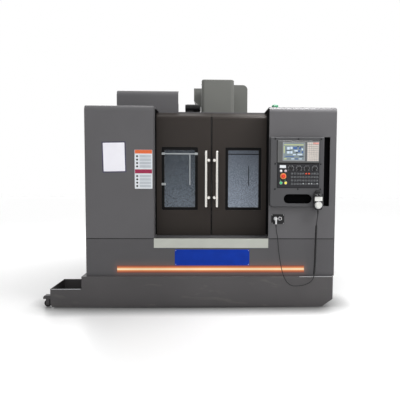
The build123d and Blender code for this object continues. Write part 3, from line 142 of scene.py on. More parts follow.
def rounded_outline(width: float, height: float, radius: float, steps: int = CORNER_STEPS) -> np.ndarray:
    """Make the outline of a rectangle with rounded corners: a quarter circle at each corner in turn.

    Args:
        width: Full width.
        height: Full height.
        radius: Corner radius.
        steps: Number of points on each corner.

    Returns:
        The outline's points, counterclockwise, in two columns.
    """
    radius = min(radius, width / 2 - 1e-6, height / 2 - 1e-6)
    aside, up = width / 2 - radius, height / 2 - radius
    arcs = []
    for x, y, start in ((aside, up, 0), (-aside, up, 90), (-aside, -up, 180), (aside, -up, 270)):
        angles = np.radians(start + np.linspace(0, 90, steps))
        arcs.append(np.stack([x + radius * np.cos(angles), y + radius * np.sin(angles)], axis=1))
    return np.concatenate(arcs)


def polar(radius: float, degrees: float) -> Pair:
    """Return radius times the cosine and radius times the sine of an angle in degrees."""
    return radius * math.cos(math.radians(degrees)), radius * math.sin(math.radians(degrees))


class Form:
    """Growing mesh of one piece, in millimetres of the guard's axes; its steps can be chained."""

    def __init__(self) -> None:
        """Start with no points and no faces."""
        self.points: list[np.ndarray] = []
        self.faces: list[list[int]] = []

    def rings(self, rings: Sequence[np.ndarray], closed: bool = False) -> Form:
        """Join each point of a ring, its next one and the same two on the next ring by a face.

        Args:
            rings: Point rings of equal length, each an array of 3-D points.
            closed: Whether the last ring joins the first one; if not, both ends get a face.

        Returns:
            The form itself.
        """
        start = sum(len(ring) for ring in self.points)
        grid = start + np.arange(len(rings) * len(rings[0])).reshape(len(rings), -1)
        after = np.roll(grid, -1, axis=0)
        quads = np.stack([grid, np.roll(grid, -1, axis=1), np.roll(after, -1, axis=1), after], axis=-1)
        if closed:
            self.faces += quads.reshape(-1, 4).tolist()
        else:
            self.faces += quads[:-1].reshape(-1, 4).tolist()
            self.faces += [grid[0, ::-1].tolist(), grid[-1].tolist()]
        self.points += [np.asarray(ring, dtype=float) for ring in rings]
        return self

    def nested(
        self, centre: Point, size: Pair, radii: Pair, levels: Sequence[Pair], facing: Facing,
        steps: int = CORNER_STEPS, turn: float = 0.0, closed: bool = False,
    ) -> Form:
        """Join rounded rectangles, each drawn in by its inset and lifted to its level.

        Args:
            centre: Middle of the lowest rectangle.
            size: Full width and height.
            radii: Corner radius, and the least one after drawing in.
            levels: Pairs of level and inset.
            facing: Way that the levels rise.
            steps: Points on each rounded corner.
            turn: Turn in the rectangles' own plane, in degrees.
            closed: Whether the last rectangle joins the first one.

        Returns:
            The form itself.
        """
        across, along, out = facing.axes
        cos, sin = polar(1.0, turn)
        across, along = across * cos + along * sin, along * cos - across * sin
        rings = []
        for level, inset in levels:
            radius = max(radii[0] - inset, radii[1])
            flat = rounded_outline(size[0] - 2 * inset, size[1] - 2 * inset, radius, steps)
            rings.append(np.array(centre) + flat[:, :1] * across + flat[:, 1:] * along + out * level)
        return self.rings(rings, closed)

    def plate(
        self, centre: Point, width: float, height: float, depth: float, facing: Facing = Facing.FRONT,
        radius: float = 2.0, bevel: float = 0.8, steps: int = CORNER_STEPS, turn: float = 0.0,
    ) -> Form:
        """Add a rounded plate with a chamfered front rim, by the middle of its back face."""
        levels = ((0.0, 0.0), (depth - bevel, 0.0), (depth, bevel))
        return self.nested(centre, (width, height), (radius, 0.1), levels, facing, steps, turn)

    def rim(
        self, centre: Point, width: float, height: float, band: float, depth: float,
        radius: float = 4.0, bevel: float = 0.8,
    ) -> Form:
        """Add a rounded rectangular frame that faces the front.

        Args:
            centre: Middle of the frame's back face.
            width: Full outer width.
            height: Full outer height.
            band: Width of the frame's band.
            depth: Thickness outward from the back face.
            radius: Outer corner radius.
            bevel: Chamfer at the band's two front edges.

        Returns:
            The form itself.
        """
        levels = (
            (0.0, 0.0), (depth - bevel, 0.0), (depth, bevel), (depth, band - bevel), (depth - bevel, band),
            (0.0, band),
        )
        return self.nested(centre, (width, height), (radius, 0.2), levels, Facing.FRONT, closed=True)

    def turned(
        self, centre: Point, profile: Sequence[Pair], facing: Facing = Facing.FRONT, segments: int = 24,
        closed: bool = False,
    ) -> Form:
        """Carry a profile round the outward direction, in one circle for each of its points.

        Args:
            centre: Point on the axis where heights start.
            profile: Pairs of radius and height, from the back to the front.
            facing: Way that the axis points.
            segments: Number of points around.
            closed: Whether the profile's end joins its start.

        Returns:
            The form itself.
        """
        across, along, out = facing.axes
        angles = np.linspace(0, 2 * math.pi, segments, endpoint=False)
        circle = np.cos(angles)[:, None] * across + np.sin(angles)[:, None] * along
        rings = [np.array(centre) + circle * radius + out * height for radius, height in profile]
        return self.rings(rings, closed)

    def tube_ring(
        self, centre: Point, inner: float, outer: float, depth: float, facing: Facing = Facing.FRONT,
    ) -> Form:
        """Add a flat ring: a box section with softened front edges, carried round.

        Args:
            centre: Middle of the ring's back face.
            inner: Inner radius.
            outer: Outer radius.
            depth: Thickness outward.
            facing: Way that the ring looks.

        Returns:
            The form itself.
        """
        soft = min(depth, outer - inner) * 0.3
        section = (
            (outer, 0.0), (outer, depth - soft), (outer - soft, depth), (inner + soft, depth),
            (inner, depth - soft), (inner, 0.0),
        )
        return self.turned(centre, section, facing, segments=40, closed=True)

    def strip(self, outline: Sequence[Pair], start: float, end: float) -> Form:
        """Carry a closed section of depths and heights straight along X, from start to end."""
        flat = np.array(outline)
        return self.rings([np.column_stack([np.full(len(flat), place), flat]) for place in (start, end)])

    def build(
        self, name: str, body: str, finish: Finish, slot: str, smooth_angle: float = 34.0,
    ) -> bpy.types.Object:
        """Turn the form into a piece that rides on a body.

        Args:
            name: Name of the piece.
            body: Name of the body that it rides on.
            finish: Finish of its surface.
            slot: Material slot of the record; not used.
            smooth_angle: Edges bent more than this many degrees stay sharp.

        Returns:
            The new object.
        """
        points = np.concatenate(self.points)
        points = (points - np.array([GUARD_MIDDLE, FOOTPRINT_MIDDLE, 0.0])) / 1000
        mesh = bpy.data.meshes.new(name)
        mesh.from_pydata(points.tolist(), [], self.faces)
        mesh.validate()
        fix_normals(mesh)
        mesh.shade_smooth()
        mesh.set_sharp_from_angle(angle=math.radians(smooth_angle))
        mesh.materials.append(finish.material())
        piece = show(name, mesh)
        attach(piece, body)
        LOG.info("piece %s on %s with %d faces", name, body, len(mesh.polygons))
        return piece


def show(name: str, data: bpy.types.ID) -> bpy.types.Object:
    """Make an object of a mesh, curve, lamp or camera and put it into the scene.

    Args:
        name: Name of the object.
        data: What it shows.

    Returns:
        The new object.
    """
    made = bpy.data.objects.new(name, data)
    bpy.context.scene.collection.objects.link(made)
    return made


def fix_normals(mesh: bpy.types.Mesh) -> None:
    """Point the faces of every closed shell outward.

    Args:
        mesh: Mesh whose faces are put right in place.
    """
    shell = bmesh.new()
    shell.from_mesh(mesh)
    bmesh.ops.recalc_face_normals(shell, faces=shell.faces)
    shell.to_mesh(mesh)
    shell.free()


class Sheet:
    """Adds nodes to one node tree, from left to right."""

    def __init__(self, tree: bpy.types.NodeTree) -> None:
        """Keep the tree and start at its left."""
        self.tree = tree
        self.column = 0

    def add(self, kind: str, label: str, values: Values | None = None, **settings: Any) -> bpy.types.Node:
        """Add one node with a label.

        Args:
            kind: Node type name.
            label: Plain words shown on the node.
            values: Values of its inputs, by name or number.
            settings: Node properties, set by name.

        Returns:
            The new node.
        """
        node = self.tree.nodes.new(kind)
        node.label = label
        node.location = (self.column * 220, 0)
        self.column += 1
        for key, value in settings.items():
            setattr(node, key, value)
        set_inputs(node, values or {})
        return node

    def math(
        self, label: str, operation: str, values: Values | None = None, clamp: bool = False,
    ) -> bpy.types.Node:
        """Add an arithmetic node."""
        return self.add("ShaderNodeMath", label, values, operation=operation, use_clamp=clamp)

    def vector_math(self, label: str, operation: str, values: Values | None = None) -> bpy.types.Node:
        """Add an arithmetic node for vectors."""
        return self.add("ShaderNodeVectorMath", label, values, operation=operation)

    def span(
        self, label: str, low: float, high: float, start: float = 0.0, end: float = 1.0,
    ) -> bpy.types.Node:
        """Add a node that maps values between low and high to values between start and end."""
        values = {"From Min": low, "From Max": high, "To Min": start, "To Max": end}
        return self.add("ShaderNodeMapRange", label, values)

    def mix(self, label: str, **colours: Iterable[float]) -> bpy.types.Node:
        """Add a node that mixes the colours A and B."""
        values = {key: (*value, 1) for key, value in colours.items()}
        return self.add("ShaderNodeMix", label, values, data_type="RGBA")

    def effect(self, effect: Effect, **values: Any) -> bpy.types.Node:
        """Add a shared effect with its own values; an underscore in a name stands for a space."""
        named = {key.replace("_", " "): value for key, value in values.items()}
        return self.add("ShaderNodeGroup", effect.value, named, node_tree=effect_group(effect))

    def place(self) -> bpy.types.Node:
        """Add the place in the object's own space."""
        return self.add("ShaderNodeTexCoord", "place on the object")

    def join(self, *joints: Joint) -> None:
        """Make links, each from a node and its output to another node and its input."""
        for source, leaving, target, entering in joints:
            self.tree.links.new(source.outputs[leaving], target.inputs[entering])


def set_inputs(node: bpy.types.Node, values: Values) -> None:
    """Give inputs of a node, by name or number, their own constant values."""
    for key, value in values.items():
        node.inputs[key].default_value = value


class Effect(Enum):
    """Shared surface effects, each kept as one node group."""

    CLOUD = "soft clouds"
    GRAIN = "fine grain bump"
    BRUSH = "brushed streaks"
    EDGE = "rounded edge"
    SCUFF = "scuffed streaks"
    NEAR = "nearness to a level"


def effect_group(effect: Effect) -> bpy.types.NodeTree:
    """Return a shared effect, and make it when it is first asked for.

    Args:
        effect: Effect that is wanted.

    Returns:
        The node group of that effect.
    """
    group = bpy.data.node_groups.get(effect.value)
    if group:
        return group
    group = bpy.data.node_groups.new(effect.value, "ShaderNodeTree")
    makers = {
        Effect.CLOUD: fill_cloud, Effect.GRAIN: fill_grain, Effect.BRUSH: fill_brush,
        Effect.EDGE: fill_edge, Effect.SCUFF: fill_scuff, Effect.NEAR: fill_near,
    }
    makers[effect](group)
    return group


def open_group(
    group: bpy.types.NodeTree, inputs: dict[str, float | None], outputs: Sequence[str],
) -> tuple[Sheet, bpy.types.Node, bpy.types.Node]:
    """Give an empty node group its named sockets.

    Args:
        group: Empty node group.
        inputs: Default of each input, or None for a vector.
        outputs: Names of the outputs; a normal is a vector, anything else a number.

    Returns:
        Node tree helper, the node with the inputs and the node with the outputs.
    """
    for name, value in inputs.items():
        kind = "NodeSocketVector" if value is None else "NodeSocketFloat"
        made = group.interface.new_socket(name=name, in_out="INPUT", socket_type=kind)
        if value is not None:
            made.default_value = value
    for name in outputs:
        kind = "NodeSocketVector" if name == "Normal" else "NodeSocketFloat"
        group.interface.new_socket(name=name, in_out="OUTPUT", socket_type=kind)
    sheet = Sheet(group)
    return sheet, sheet.add("NodeGroupInput", "settings"), sheet.add("NodeGroupOutput", "results")


def fill_cloud(group: bpy.types.NodeTree) -> None:
    """Make soft patches from noise over the object's own space.

    Args:
        group: Empty node group.
    """
    sheet, entry, leave = open_group(group, {"Patches per metre": 3.0, "Detail": 4.0}, ("Mask",))
    noise = sheet.add("ShaderNodeTexNoise", "patches")
    stretch = sheet.span("spread to nought and one", 0.3, 0.7)
    sheet.join(
        (sheet.place(), "Object", noise, "Vector"), (entry, "Patches per metre", noise, "Scale"),
        (entry, "Detail", noise, "Detail"), (noise, "Fac", stretch, "Value"),
        (stretch, "Result", leave, "Mask"))


def fill_grain(group: bpy.types.NodeTree) -> None:
    """Make a fine bumpy skin such as textured powder coat.

    Args:
        group: Empty node group.
    """
    inputs = {"Grains per metre": 600.0, "Height": 0.0001, "Smooth normal": None}
    sheet, entry, leave = open_group(group, inputs, ("Normal",))
    noise = sheet.add("ShaderNodeTexNoise", "grains", {"Detail": 2})
    bump = sheet.add("ShaderNodeBump", "grain height")
    sheet.join(
        (sheet.place(), "Object", noise, "Vector"), (entry, "Grains per metre", noise, "Scale"),
        (noise, "Fac", bump, "Height"), (entry, "Height", bump, "Distance"),
        (entry, "Smooth normal", bump, "Normal"), (bump, "Normal", leave, "Normal"))


def fill_brush(group: bpy.types.NodeTree) -> None:
    """Make fine streaks along one direction, as on brushed or ground metal.

    Args:
        group: Empty node group.
    """
    sheet, entry, leave = open_group(group, {"Stretch": None, "Height": 0.00002}, ("Mask", "Normal"))
    scale = sheet.vector_math("streaks per metre", "MULTIPLY")
    noise = sheet.add("ShaderNodeTexNoise", "streaks", {"Scale": 1, "Detail": 3})
    bump = sheet.add("ShaderNodeBump", "streak height")
    sheet.join(
        (sheet.place(), "Object", scale, 0), (entry, "Stretch", scale, 1), (scale, "Vector", noise, "Vector"),
        (noise, "Fac", bump, "Height"), (entry, "Height", bump, "Distance"), (noise, "Fac", leave, "Mask"),
        (bump, "Normal", leave, "Normal"))


def fill_edge(group: bpy.types.NodeTree) -> None:
    """Round sharp edges in the shading and mark them for wear.

    Args:
        group: Empty node group.
    """
    sheet, entry, leave = open_group(group, {"Radius": 0.003}, ("Mask", "Normal"))
    bevel = sheet.add("ShaderNodeBevel", "rounded normal", samples=4)
    geometry = sheet.add("ShaderNodeNewGeometry", "flat normal")
    dot = sheet.vector_math("how far they agree", "DOT_PRODUCT")
    spread = sheet.span("only near edges", 0.995, 0.85)
    sheet.join(
        (entry, "Radius", bevel, "Radius"), (bevel, "Normal", dot, 0), (geometry, "Normal", dot, 1),
        (dot, "Value", spread, "Value"), (spread, "Result", leave, "Mask"),
        (bevel, "Normal", leave, "Normal"))


def fill_scuff(group: bpy.types.NodeTree) -> None:
    """Make a few long thin scuffs, as rubbing boxes and boots leave.

    Args:
        group: Empty node group.
    """
    sheet, entry, leave = open_group(group, {"Stretch": None, "Threshold": 0.6}, ("Mask",))
    scale = sheet.vector_math("scuffs per metre", "MULTIPLY")
    noise = sheet.add("ShaderNodeTexNoise", "scuffs", {"Scale": 1, "Detail": 5, "Distortion": 1.6})
    over = sheet.math("only the highest", "SUBTRACT")
    steep = sheet.math("sharp rim", "MULTIPLY", {1: 9}, clamp=True)
    sheet.join(
        (sheet.place(), "Object", scale, 0), (entry, "Stretch", scale, 1), (scale, "Vector", noise, "Vector"),
        (noise, "Fac", over, 0), (entry, "Threshold", over, 1), (over, "Value", steep, 0),
        (steep, "Value", leave, "Mask"))


def fill_near(group: bpy.types.NodeTree) -> None:
    """Make a mask that is one at a height and falls to nought at a reach from it.

    Args:
        group: Empty node group.
    """
    inputs = {"Level": 0.39, "Reach": 0.05, "Middle": 0.219, "Half length": 0.942, "Fade": 0.004}
    sheet, entry, leave = open_group(group, inputs, ("Mask",))
    parts = sheet.add("ShaderNodeSeparateXYZ", "height")
    aside = sheet.math("left or right", "SUBTRACT")
    apart = sheet.math("how far aside", "ABSOLUTE")
    left = sheet.math("length that is left", "SUBTRACT")
    ends = sheet.math("share of the fade", "DIVIDE")
    clear = sheet.math("one at the end", "ADD", {1: 1}, clamp=True)
    both = sheet.math("height and ends", "MULTIPLY")
    away = sheet.math("above or below", "SUBTRACT")
    size = sheet.math("how far", "ABSOLUTE")
    share = sheet.math("share of the reach", "DIVIDE")
    turn = sheet.math("one at the level", "SUBTRACT", {0: 1}, clamp=True)
    sheet.join(
        (sheet.place(), "Object", parts, "Vector"), (parts, "Z", away, 0), (entry, "Level", away, 1),
        (away, "Value", size, 0), (size, "Value", share, 0), (entry, "Reach", share, 1),
        (share, "Value", turn, 1), (parts, "X", aside, 0), (entry, "Middle", aside, 1),
        (aside, "Value", apart, 0), (entry, "Half length", left, 0), (apart, "Value", left, 1),
        (left, "Value", ends, 0), (entry, "Fade", ends, 1), (ends, "Value", clear, 0),
        (turn, "Value", both, 0), (clear, "Value", both, 1), (both, "Value", leave, "Mask"))


@dataclass(frozen=True)
class Finish:
    """Common part of every surface finish."""

    name: str
    colour: Colour

    def material(self) -> bpy.types.Material:
        """Return the finish's material, made once.

        Returns:
            The material.
        """
        found = bpy.data.materials.get(self.name)
        if found:
            return found
        made = bpy.data.materials.new(self.name)
        made.use_nodes = True
        made.diffuse_color = (*self.colour, 1.0)
        shader = made.node_tree.nodes["Principled BSDF"]
        shader.inputs["Base Color"].default_value = (*self.colour, 1.0)
        self.dress(Sheet(made.node_tree), shader)
        return made

    def dress(self, sheet: Sheet, shader: bpy.types.Node) -> None:
        """Set the Principled shader; each kind of finish does it in its own way."""
        raise NotImplementedError(self.name)

    def shade(self, share: float) -> tuple[float, ...]:
        """Return the finish's colour times a share, at most white."""
        return tuple(min(1.0, value * share) for value in self.colour)

    def vary(
        self, sheet: Sheet, shader: bpy.types.Node, amount: float, patches: float, roughness: float,
        spread: float = 0.05, depth: float = 1.0,
    ) -> bpy.types.Node:
        """Let colour and roughness drift softly over the surface.

        Args:
            sheet: Node tree helper of the material.
            shader: Principled shader.
            amount: Share by which the colour darkens and brightens.
            patches: Patches per metre.
            roughness: Middle roughness.
            spread: Change of roughness each way.
            depth: Share of the colour that is kept.

        Returns:
            The colour mix node, for more layers.
        """
        cloud = sheet.effect(Effect.CLOUD, Patches_per_metre=patches)
        darker, brighter = self.shade(depth * (1 - amount)), self.shade(depth * (1 + amount))
        mix = sheet.mix("drifting colour", A=darker, B=brighter)
        gloss = sheet.span("drifting roughness", 0, 1, roughness - spread, roughness + spread)
        sheet.join(
            (cloud, "Mask", mix, "Factor"), (mix, "Result", shader, "Base Color"),
            (cloud, "Mask", gloss, "Value"), (gloss, "Result", shader, "Roughness"))
        return mix

    def grow(self, sheet: Sheet, shader: bpy.types.Node, grains: float, height: float) -> bpy.types.Node:
        """Give the surface its fine grain.

        Args:
            sheet: Node tree helper of the material.
            shader: Principled shader.
            grains: Grains per metre.
            height: Height of the grains in metres.

        Returns:
            The grain node.
        """
        grain = sheet.effect(Effect.GRAIN, Grains_per_metre=grains, Height=height)
        sheet.join((grain, "Normal", shader, "Normal"))
        return grain

    def shine(self, sheet: Sheet, shader: bpy.types.Node, patches: float, low: float, high: float) -> None:
        """Let the surface's own light drift between two strengths.

        Args:
            sheet: Node tree helper of the material.
            shader: Principled shader.
            patches: Patches per metre.
            low: Strength where it is weakest.
            high: Strength where it is strongest.
        """
        cloud = sheet.effect(Effect.CLOUD, Patches_per_metre=patches)
        power = sheet.span("uneven brightness", 0, 1, low, high)
        sheet.join((cloud, "Mask", power, "Value"), (power, "Result", shader, "Emission Strength"))


@dataclass(frozen=True)
class Paint(Finish):
    """Paint or powder coat over sheet or casting."""

    roughness: float = 0.45
    drift: float = 0.06
    patches: float = 1.6
    grains: float = 700.0
    grain_height: float = 0.00008
    edge_radius: float = 0.0025
    edge_light: float = 0.35
    edge_gain: float = 2.1
    specular: float = 0.22
    scuffs: float = 0.0
    scuff_colour: Colour = light(132, 130, 120)

    def dress(self, sheet: Sheet, shader: bpy.types.Node) -> None:
        """Set drifting colour, grain, rounded edges and slightly paler edges.

        Args:
            sheet: Node tree helper of the material.
            shader: Principled shader.
        """
        set_inputs(shader, {"Specular IOR Level": self.specular})
        mix = self.vary(sheet, shader, self.drift, self.patches, self.roughness)
        edge = sheet.effect(Effect.EDGE, Radius=self.edge_radius)
        rub = sheet.math("edge wear", "MULTIPLY", {1: self.edge_light})
        bright = [min(1.0, value * self.edge_gain + 0.02) for value in self.colour]
        pale = sheet.mix("paler edges", B=bright)
        grain = self.grow(sheet, shader, self.grains, self.grain_height)
        sheet.join(
            (edge, "Mask", rub, 0), (rub, "Value", pale, "Factor"), (mix, "Result", pale, "A"),
            (edge, "Normal", grain, "Smooth normal"))
        last = self.scuff(sheet, pale) if self.scuffs else pale
        sheet.join((last, "Result", shader, "Base Color"))

    def scuff(self, sheet: Sheet, colour: bpy.types.Node) -> bpy.types.Node:
        """Lay pale scuffs over the colour.

        Args:
            sheet: Node tree helper of the material.
            colour: Mix node that gives the clean colour.

        Returns:
            The mix node with the scuffs.
        """
        marks = sheet.effect(Effect.SCUFF, Stretch=(2.2, 2.2, 9.0), Threshold=0.6)
        weak = sheet.math("faint scuffs", "MULTIPLY", {1: self.scuffs})
        worn = sheet.mix("scuffed colour", B=self.scuff_colour)
        sheet.join((marks, "Mask", weak, 0), (weak, "Value", worn, "Factor"), (colour, "Result", worn, "A"))
        return worn


@dataclass(frozen=True)
class LitPaint(Paint):
    """Paint with the strip's warm glow painted on it as emission."""

    level: float = 0.39
    reach: float = 0.13
    fade: float = 0.07
    warm: Colour = (0.2, 0.055, 0.03)
    strength: float = 0.5
    fall: float = 2.4

    def dress(self, sheet: Sheet, shader: bpy.types.Node) -> None:
        """Set the paint and a painted glow that fades away from the strip.

        Args:
            sheet: Node tree helper of the material.
            shader: Principled shader.
        """
        super().dress(sheet, shader)
        set_inputs(shader, {"Emission Color": (*self.warm, 1.0)})
        near = sheet.effect(Effect.NEAR, Level=self.level, Reach=self.reach, Fade=self.fade)
        fade = sheet.math("painted glow falloff", "POWER", {1: self.fall})
        power = sheet.math("strength", "MULTIPLY", {1: self.strength})
        sheet.join(
            (near, "Mask", fade, 0), (fade, "Value", power, 0), (power, "Value", shader, "Emission Strength"))


@dataclass(frozen=True)
class Metal(Finish):
    """Bare metal, brushed, ground or turned."""

    roughness: float = 0.3
    spread: float = 0.08
    streaks: Point = (8.0, 900.0, 900.0)
    streak_height: float = 0.00002
    streak_share: float = 0.6
    cloud_share: float = 0.4
    stain: float = 0.1

    def dress(self, sheet: Sheet, shader: bpy.types.Node) -> None:
        """Set streaked roughness and colour over a metallic shader.

        Args:
            sheet: Node tree helper of the material.
            shader: Principled shader.
        """
        set_inputs(shader, {"Metallic": 1.0})
        brush = sheet.effect(Effect.BRUSH, Stretch=self.streaks, Height=self.streak_height)
        cloud = sheet.effect(Effect.CLOUD, Patches_per_metre=6.0)
        half = sheet.math("softened clouds", "MULTIPLY", {1: self.cloud_share})
        both = sheet.math("streaks and clouds", "MULTIPLY_ADD", {1: self.streak_share})
        smooth, rough = self.roughness - self.spread, self.roughness + self.spread
        gloss = sheet.span("streaked roughness", 0, 1, smooth, rough)
        mix = sheet.mix("stained colour", A=self.shade(1 - self.stain), B=self.colour)
        sheet.join(
            (cloud, "Mask", half, 0), (brush, "Mask", both, 0), (half, "Value", both, 2),
            (both, "Value", gloss, "Value"), (gloss, "Result", shader, "Roughness"),
            (both, "Value", mix, "Factor"), (mix, "Result", shader, "Base Color"),
            (brush, "Normal", shader, "Normal"))


@dataclass(frozen=True)
class Plastic(Finish):
    """Moulded plastic, rubber or printed film."""

    roughness: float = 0.4
    grains: float = 1500.0
    grain_height: float = 0.00003
    drift: float = 0.05
    coat: float = 0.0
    specular: float = 0.3

    def dress(self, sheet: Sheet, shader: bpy.types.Node) -> None:
        """Set drifting colour, fine grain and a clear coat where there is one.

        Args:
            sheet: Node tree helper of the material.
            shader: Principled shader.
        """
        set_inputs(shader, {
            "Specular IOR Level": self.specular, "Coat Weight": self.coat, "Coat Roughness": 0.08})
        self.vary(sheet, shader, self.drift, 12.0, self.roughness, 0.06)
        self.grow(sheet, shader, self.grains, self.grain_height)


@dataclass(frozen=True)
class Glow(Finish):
    """Surface that gives light, brightest where its mask is strong."""

    strength: float = 1.0
    roughness: float = 0.3
    shimmer: float = 0.15

    def dress(self, sheet: Sheet, shader: bpy.types.Node) -> None:
        """Set an emission that drifts softly along the surface.

        Args:
            sheet: Node tree helper of the material.
            shader: Principled shader.
        """
        set_inputs(shader, {"Specular IOR Level": 0.15, "Emission Color": (*self.colour, 1.0)})
        self.vary(sheet, shader, 0.03, 9.0, self.roughness, depth=0.06)
        self.shine(sheet, shader, 5.0, self.strength * (1 - self.shimmer), self.strength * (1 + self.shimmer))


@dataclass(frozen=True)
class StripGlow(Finish):
    """Long lamp cover: a pale core that falls off to amber and dull red; the amber and dull red rim, on the
    bands beside it, is painted glow.
    """

    level: float = 0.39
    reach: float = 0.04
    strength: Pair = (0.86, 1.06)
    steps: tuple[tuple[float, Colour], ...] = (
        (0.0, light(96, 62, 56)), (0.3, light(150, 82, 62)), (0.52, light(206, 120, 82)),
        (0.72, light(226, 150, 98)), (0.84, light(247, 214, 158)), (0.96, light(252, 236, 204)),
    )

    def dress(self, sheet: Sheet, shader: bpy.types.Node) -> None:
        """Set an emission whose colour depends on the distance from the lamp's middle line.

        Args:
            sheet: Node tree helper of the material.
            shader: Principled shader.
        """
        set_inputs(shader, {"Specular IOR Level": 0.15})
        self.vary(sheet, shader, 0.03, 9.0, 0.35, depth=0.06)
        near = sheet.effect(Effect.NEAR, Level=self.level, Reach=self.reach)
        ramp = sheet.add("ShaderNodeValToRGB", "core to rim")
        stops = ramp.color_ramp.elements
        for index, (place, colour) in enumerate(self.steps):
            stop = stops[index] if index < 2 else stops.new(place)
            stop.position = place
            stop.color = (*colour, 1.0)
        sheet.join((near, "Mask", ramp, "Fac"), (ramp, "Color", shader, "Emission Color"))
        self.shine(sheet, shader, 3.0, *self.strength)


@dataclass(frozen=True)
class WindowPane(Finish):
    """Laminated pane, with dried coolant spots that grow denser towards its foot."""

    film: Colour = (0.2, 0.24, 0.3)
    thin: float = 0.1
    thick: float = 0.6
    spot_edge: Pair = (0.4, 0.64)
    spot_strength: Pair = (0.3, 1.5)
    clear: float = 0.4
    solid: float = 0.97
    foot: float = 0.967
    head: float = 1.626
    spots: float = 120.0

    def dress(self, sheet: Sheet, shader: bpy.types.Node) -> None:
        """Mix a bluish clear pane with a pale speckled film.

        Args:
            sheet: Node tree helper of the material.
            shader: Principled shader.
        """
        set_inputs(shader, {"Roughness": 0.12, "Specular IOR Level": 0.25})
        place = sheet.place()
        parts = sheet.add("ShaderNodeSeparateXYZ", "height on the pane")
        rise = sheet.span("denser towards the foot", self.head, self.foot, self.thin, self.thick)
        dots = sheet.add("ShaderNodeTexNoise", "dried spots", {"Scale": self.spots, "Detail": 3})
        sharp = sheet.span("separate spots", *self.spot_edge, *self.spot_strength)
        film = sheet.math("film strength", "MULTIPLY", clamp=True)
        colour = sheet.mix("pane and film", A=self.colour, B=self.film)
        cover = sheet.span("how solid it looks", 0, 1, 1 - self.clear, self.solid)
        sheet.join(
            (place, "Object", parts, "Vector"), (place, "Object", dots, "Vector"),
            (parts, "Z", rise, "Value"), (dots, "Fac", sharp, "Value"),
            (rise, "Result", film, 0), (sharp, "Result", film, 1),
            (film, "Value", colour, "Factor"), (colour, "Result", shader, "Base Color"),
            (film, "Value", cover, "Value"), (cover, "Result", shader, "Alpha"))


GUARD = Paint("guard powder coat", light(93, 92, 94), roughness=0.42)
DOOR = Paint("door powder coat", light(51, 46, 43), roughness=0.46, specular=0.14)
# Lower guard: the guard's grey painted darker as painted shade, carrying the strip's painted glow.
LOWER = LitPaint("lower guard powder coat", light(83, 82, 84), roughness=0.42)
TANK = Paint("tank powder coat", light(80, 78, 79), roughness=0.44, drift=0.1, patches=1.3, scuffs=0.13)
COVER = Paint("cover paint", light(111, 112, 108), roughness=0.4)
BOX = Paint("operator box powder coat", light(76, 76, 78), roughness=0.42)
CASTING = Paint(
    "casting paint", light(160, 162, 160), roughness=0.5, grains=180.0, grain_height=0.0005,
    edge_radius=0.005, edge_light=0.2)
ENAMEL = Paint("black enamel", light(30, 30, 31), roughness=0.4, grain_height=0.00004, specular=0.2)
GROUND_IRON = Metal("ground iron", (0.42, 0.42, 0.41), roughness=0.38, streaks=(900.0, 12.0, 900.0))
STAINLESS = Metal(
    "brushed stainless sheet", (0.45, 0.46, 0.42), roughness=0.34, streaks=(6.0, 700.0, 700.0), stain=0.2)
HANDLE_STEEL = Metal(
    "brushed handle tube", (0.78, 0.76, 0.72), roughness=0.24, streaks=(700.0, 700.0, 6.0), stain=0.08)
SCREW_STEEL = Metal("ground screw steel", (0.5, 0.5, 0.51), roughness=0.25)
NICKEL = Metal("satin nickel", (0.66, 0.66, 0.67), roughness=0.26, streaks=(300.0, 300.0, 300.0))
ZINC = Metal("zinc plated fastener", (0.55, 0.56, 0.58), roughness=0.34, streaks=(400.0, 400.0, 400.0))
DARK_SCREW = Metal("black oxide screw", (0.012, 0.012, 0.013), roughness=0.4, streaks=(400.0, 400.0, 400.0))
SEAL = Plastic(
    "black seal rubber", light(14, 14, 15), roughness=0.7, grains=500.0, grain_height=0.0001, specular=0.12)
# Near-black sheet laid where recesses and the doorway fall into shade: painted shade.
SHADE_LINING = Plastic(
    "black recess lining", light(6, 6, 7), roughness=0.9, grains=400.0, grain_height=0.0001, specular=0.05)
PANEL = Plastic("black panel film", light(42, 42, 45), roughness=0.4, specular=0.2)
BEZEL = Plastic("dark display plastic", light(91, 92, 92), roughness=0.36)
KNOB = Plastic("black knob plastic", light(20, 20, 21), roughness=0.3, coat=0.2)
KEY_BEIGE = Plastic("beige key plastic", light(206, 198, 190), roughness=0.45)
KEY_ROSE = Plastic("rose key plastic", light(214, 150, 140), roughness=0.45)
MARK_WHITE = Plastic("white print", light(214, 216, 218), roughness=0.5, grain_height=0.00001)
MARK_GREY = Plastic("grey print", light(148, 151, 154), roughness=0.5, grain_height=0.00001)
PAPER = Plastic("notice paper", light(244, 243, 250), roughness=0.55, drift=0.015, coat=0.3)
NAVY = Plastic("navy sheet border", light(58, 54, 84), roughness=0.5)
LABEL_WHITE = Plastic("white label film", light(222, 226, 230), roughness=0.4, drift=0.03, coat=0.2)
LABEL_GREY = Plastic("pale grey label field", light(188, 194, 200), roughness=0.45)
LABEL_ORANGE = Plastic("orange label field", light(224, 106, 58), roughness=0.4, coat=0.2)
LABEL_CRIMSON = Plastic("crimson label field", light(152, 36, 72), roughness=0.4, coat=0.2)
PLATE_BLUE = Plastic("plain blue plate", light(14, 52, 154), roughness=0.5, drift=0.08, specular=0.1)
LAMP_GREEN = Plastic("green lens", light(24, 130, 84), roughness=0.15, coat=0.8)
STOP_RED = Plastic("red mushroom head", light(226, 58, 34), roughness=0.28, coat=0.5)
STOP_RING = Plastic("amber stop ring", light(238, 150, 78), roughness=0.35, coat=0.3)
START_GREEN = Plastic("green button", light(58, 196, 120), roughness=0.3, coat=0.4)
HOLD_YELLOW = Plastic("yellow button", light(244, 224, 64), roughness=0.3, coat=0.4)
PILOT_WHITE = Plastic("white pilot lens", light(236, 240, 238), roughness=0.2, coat=0.6)
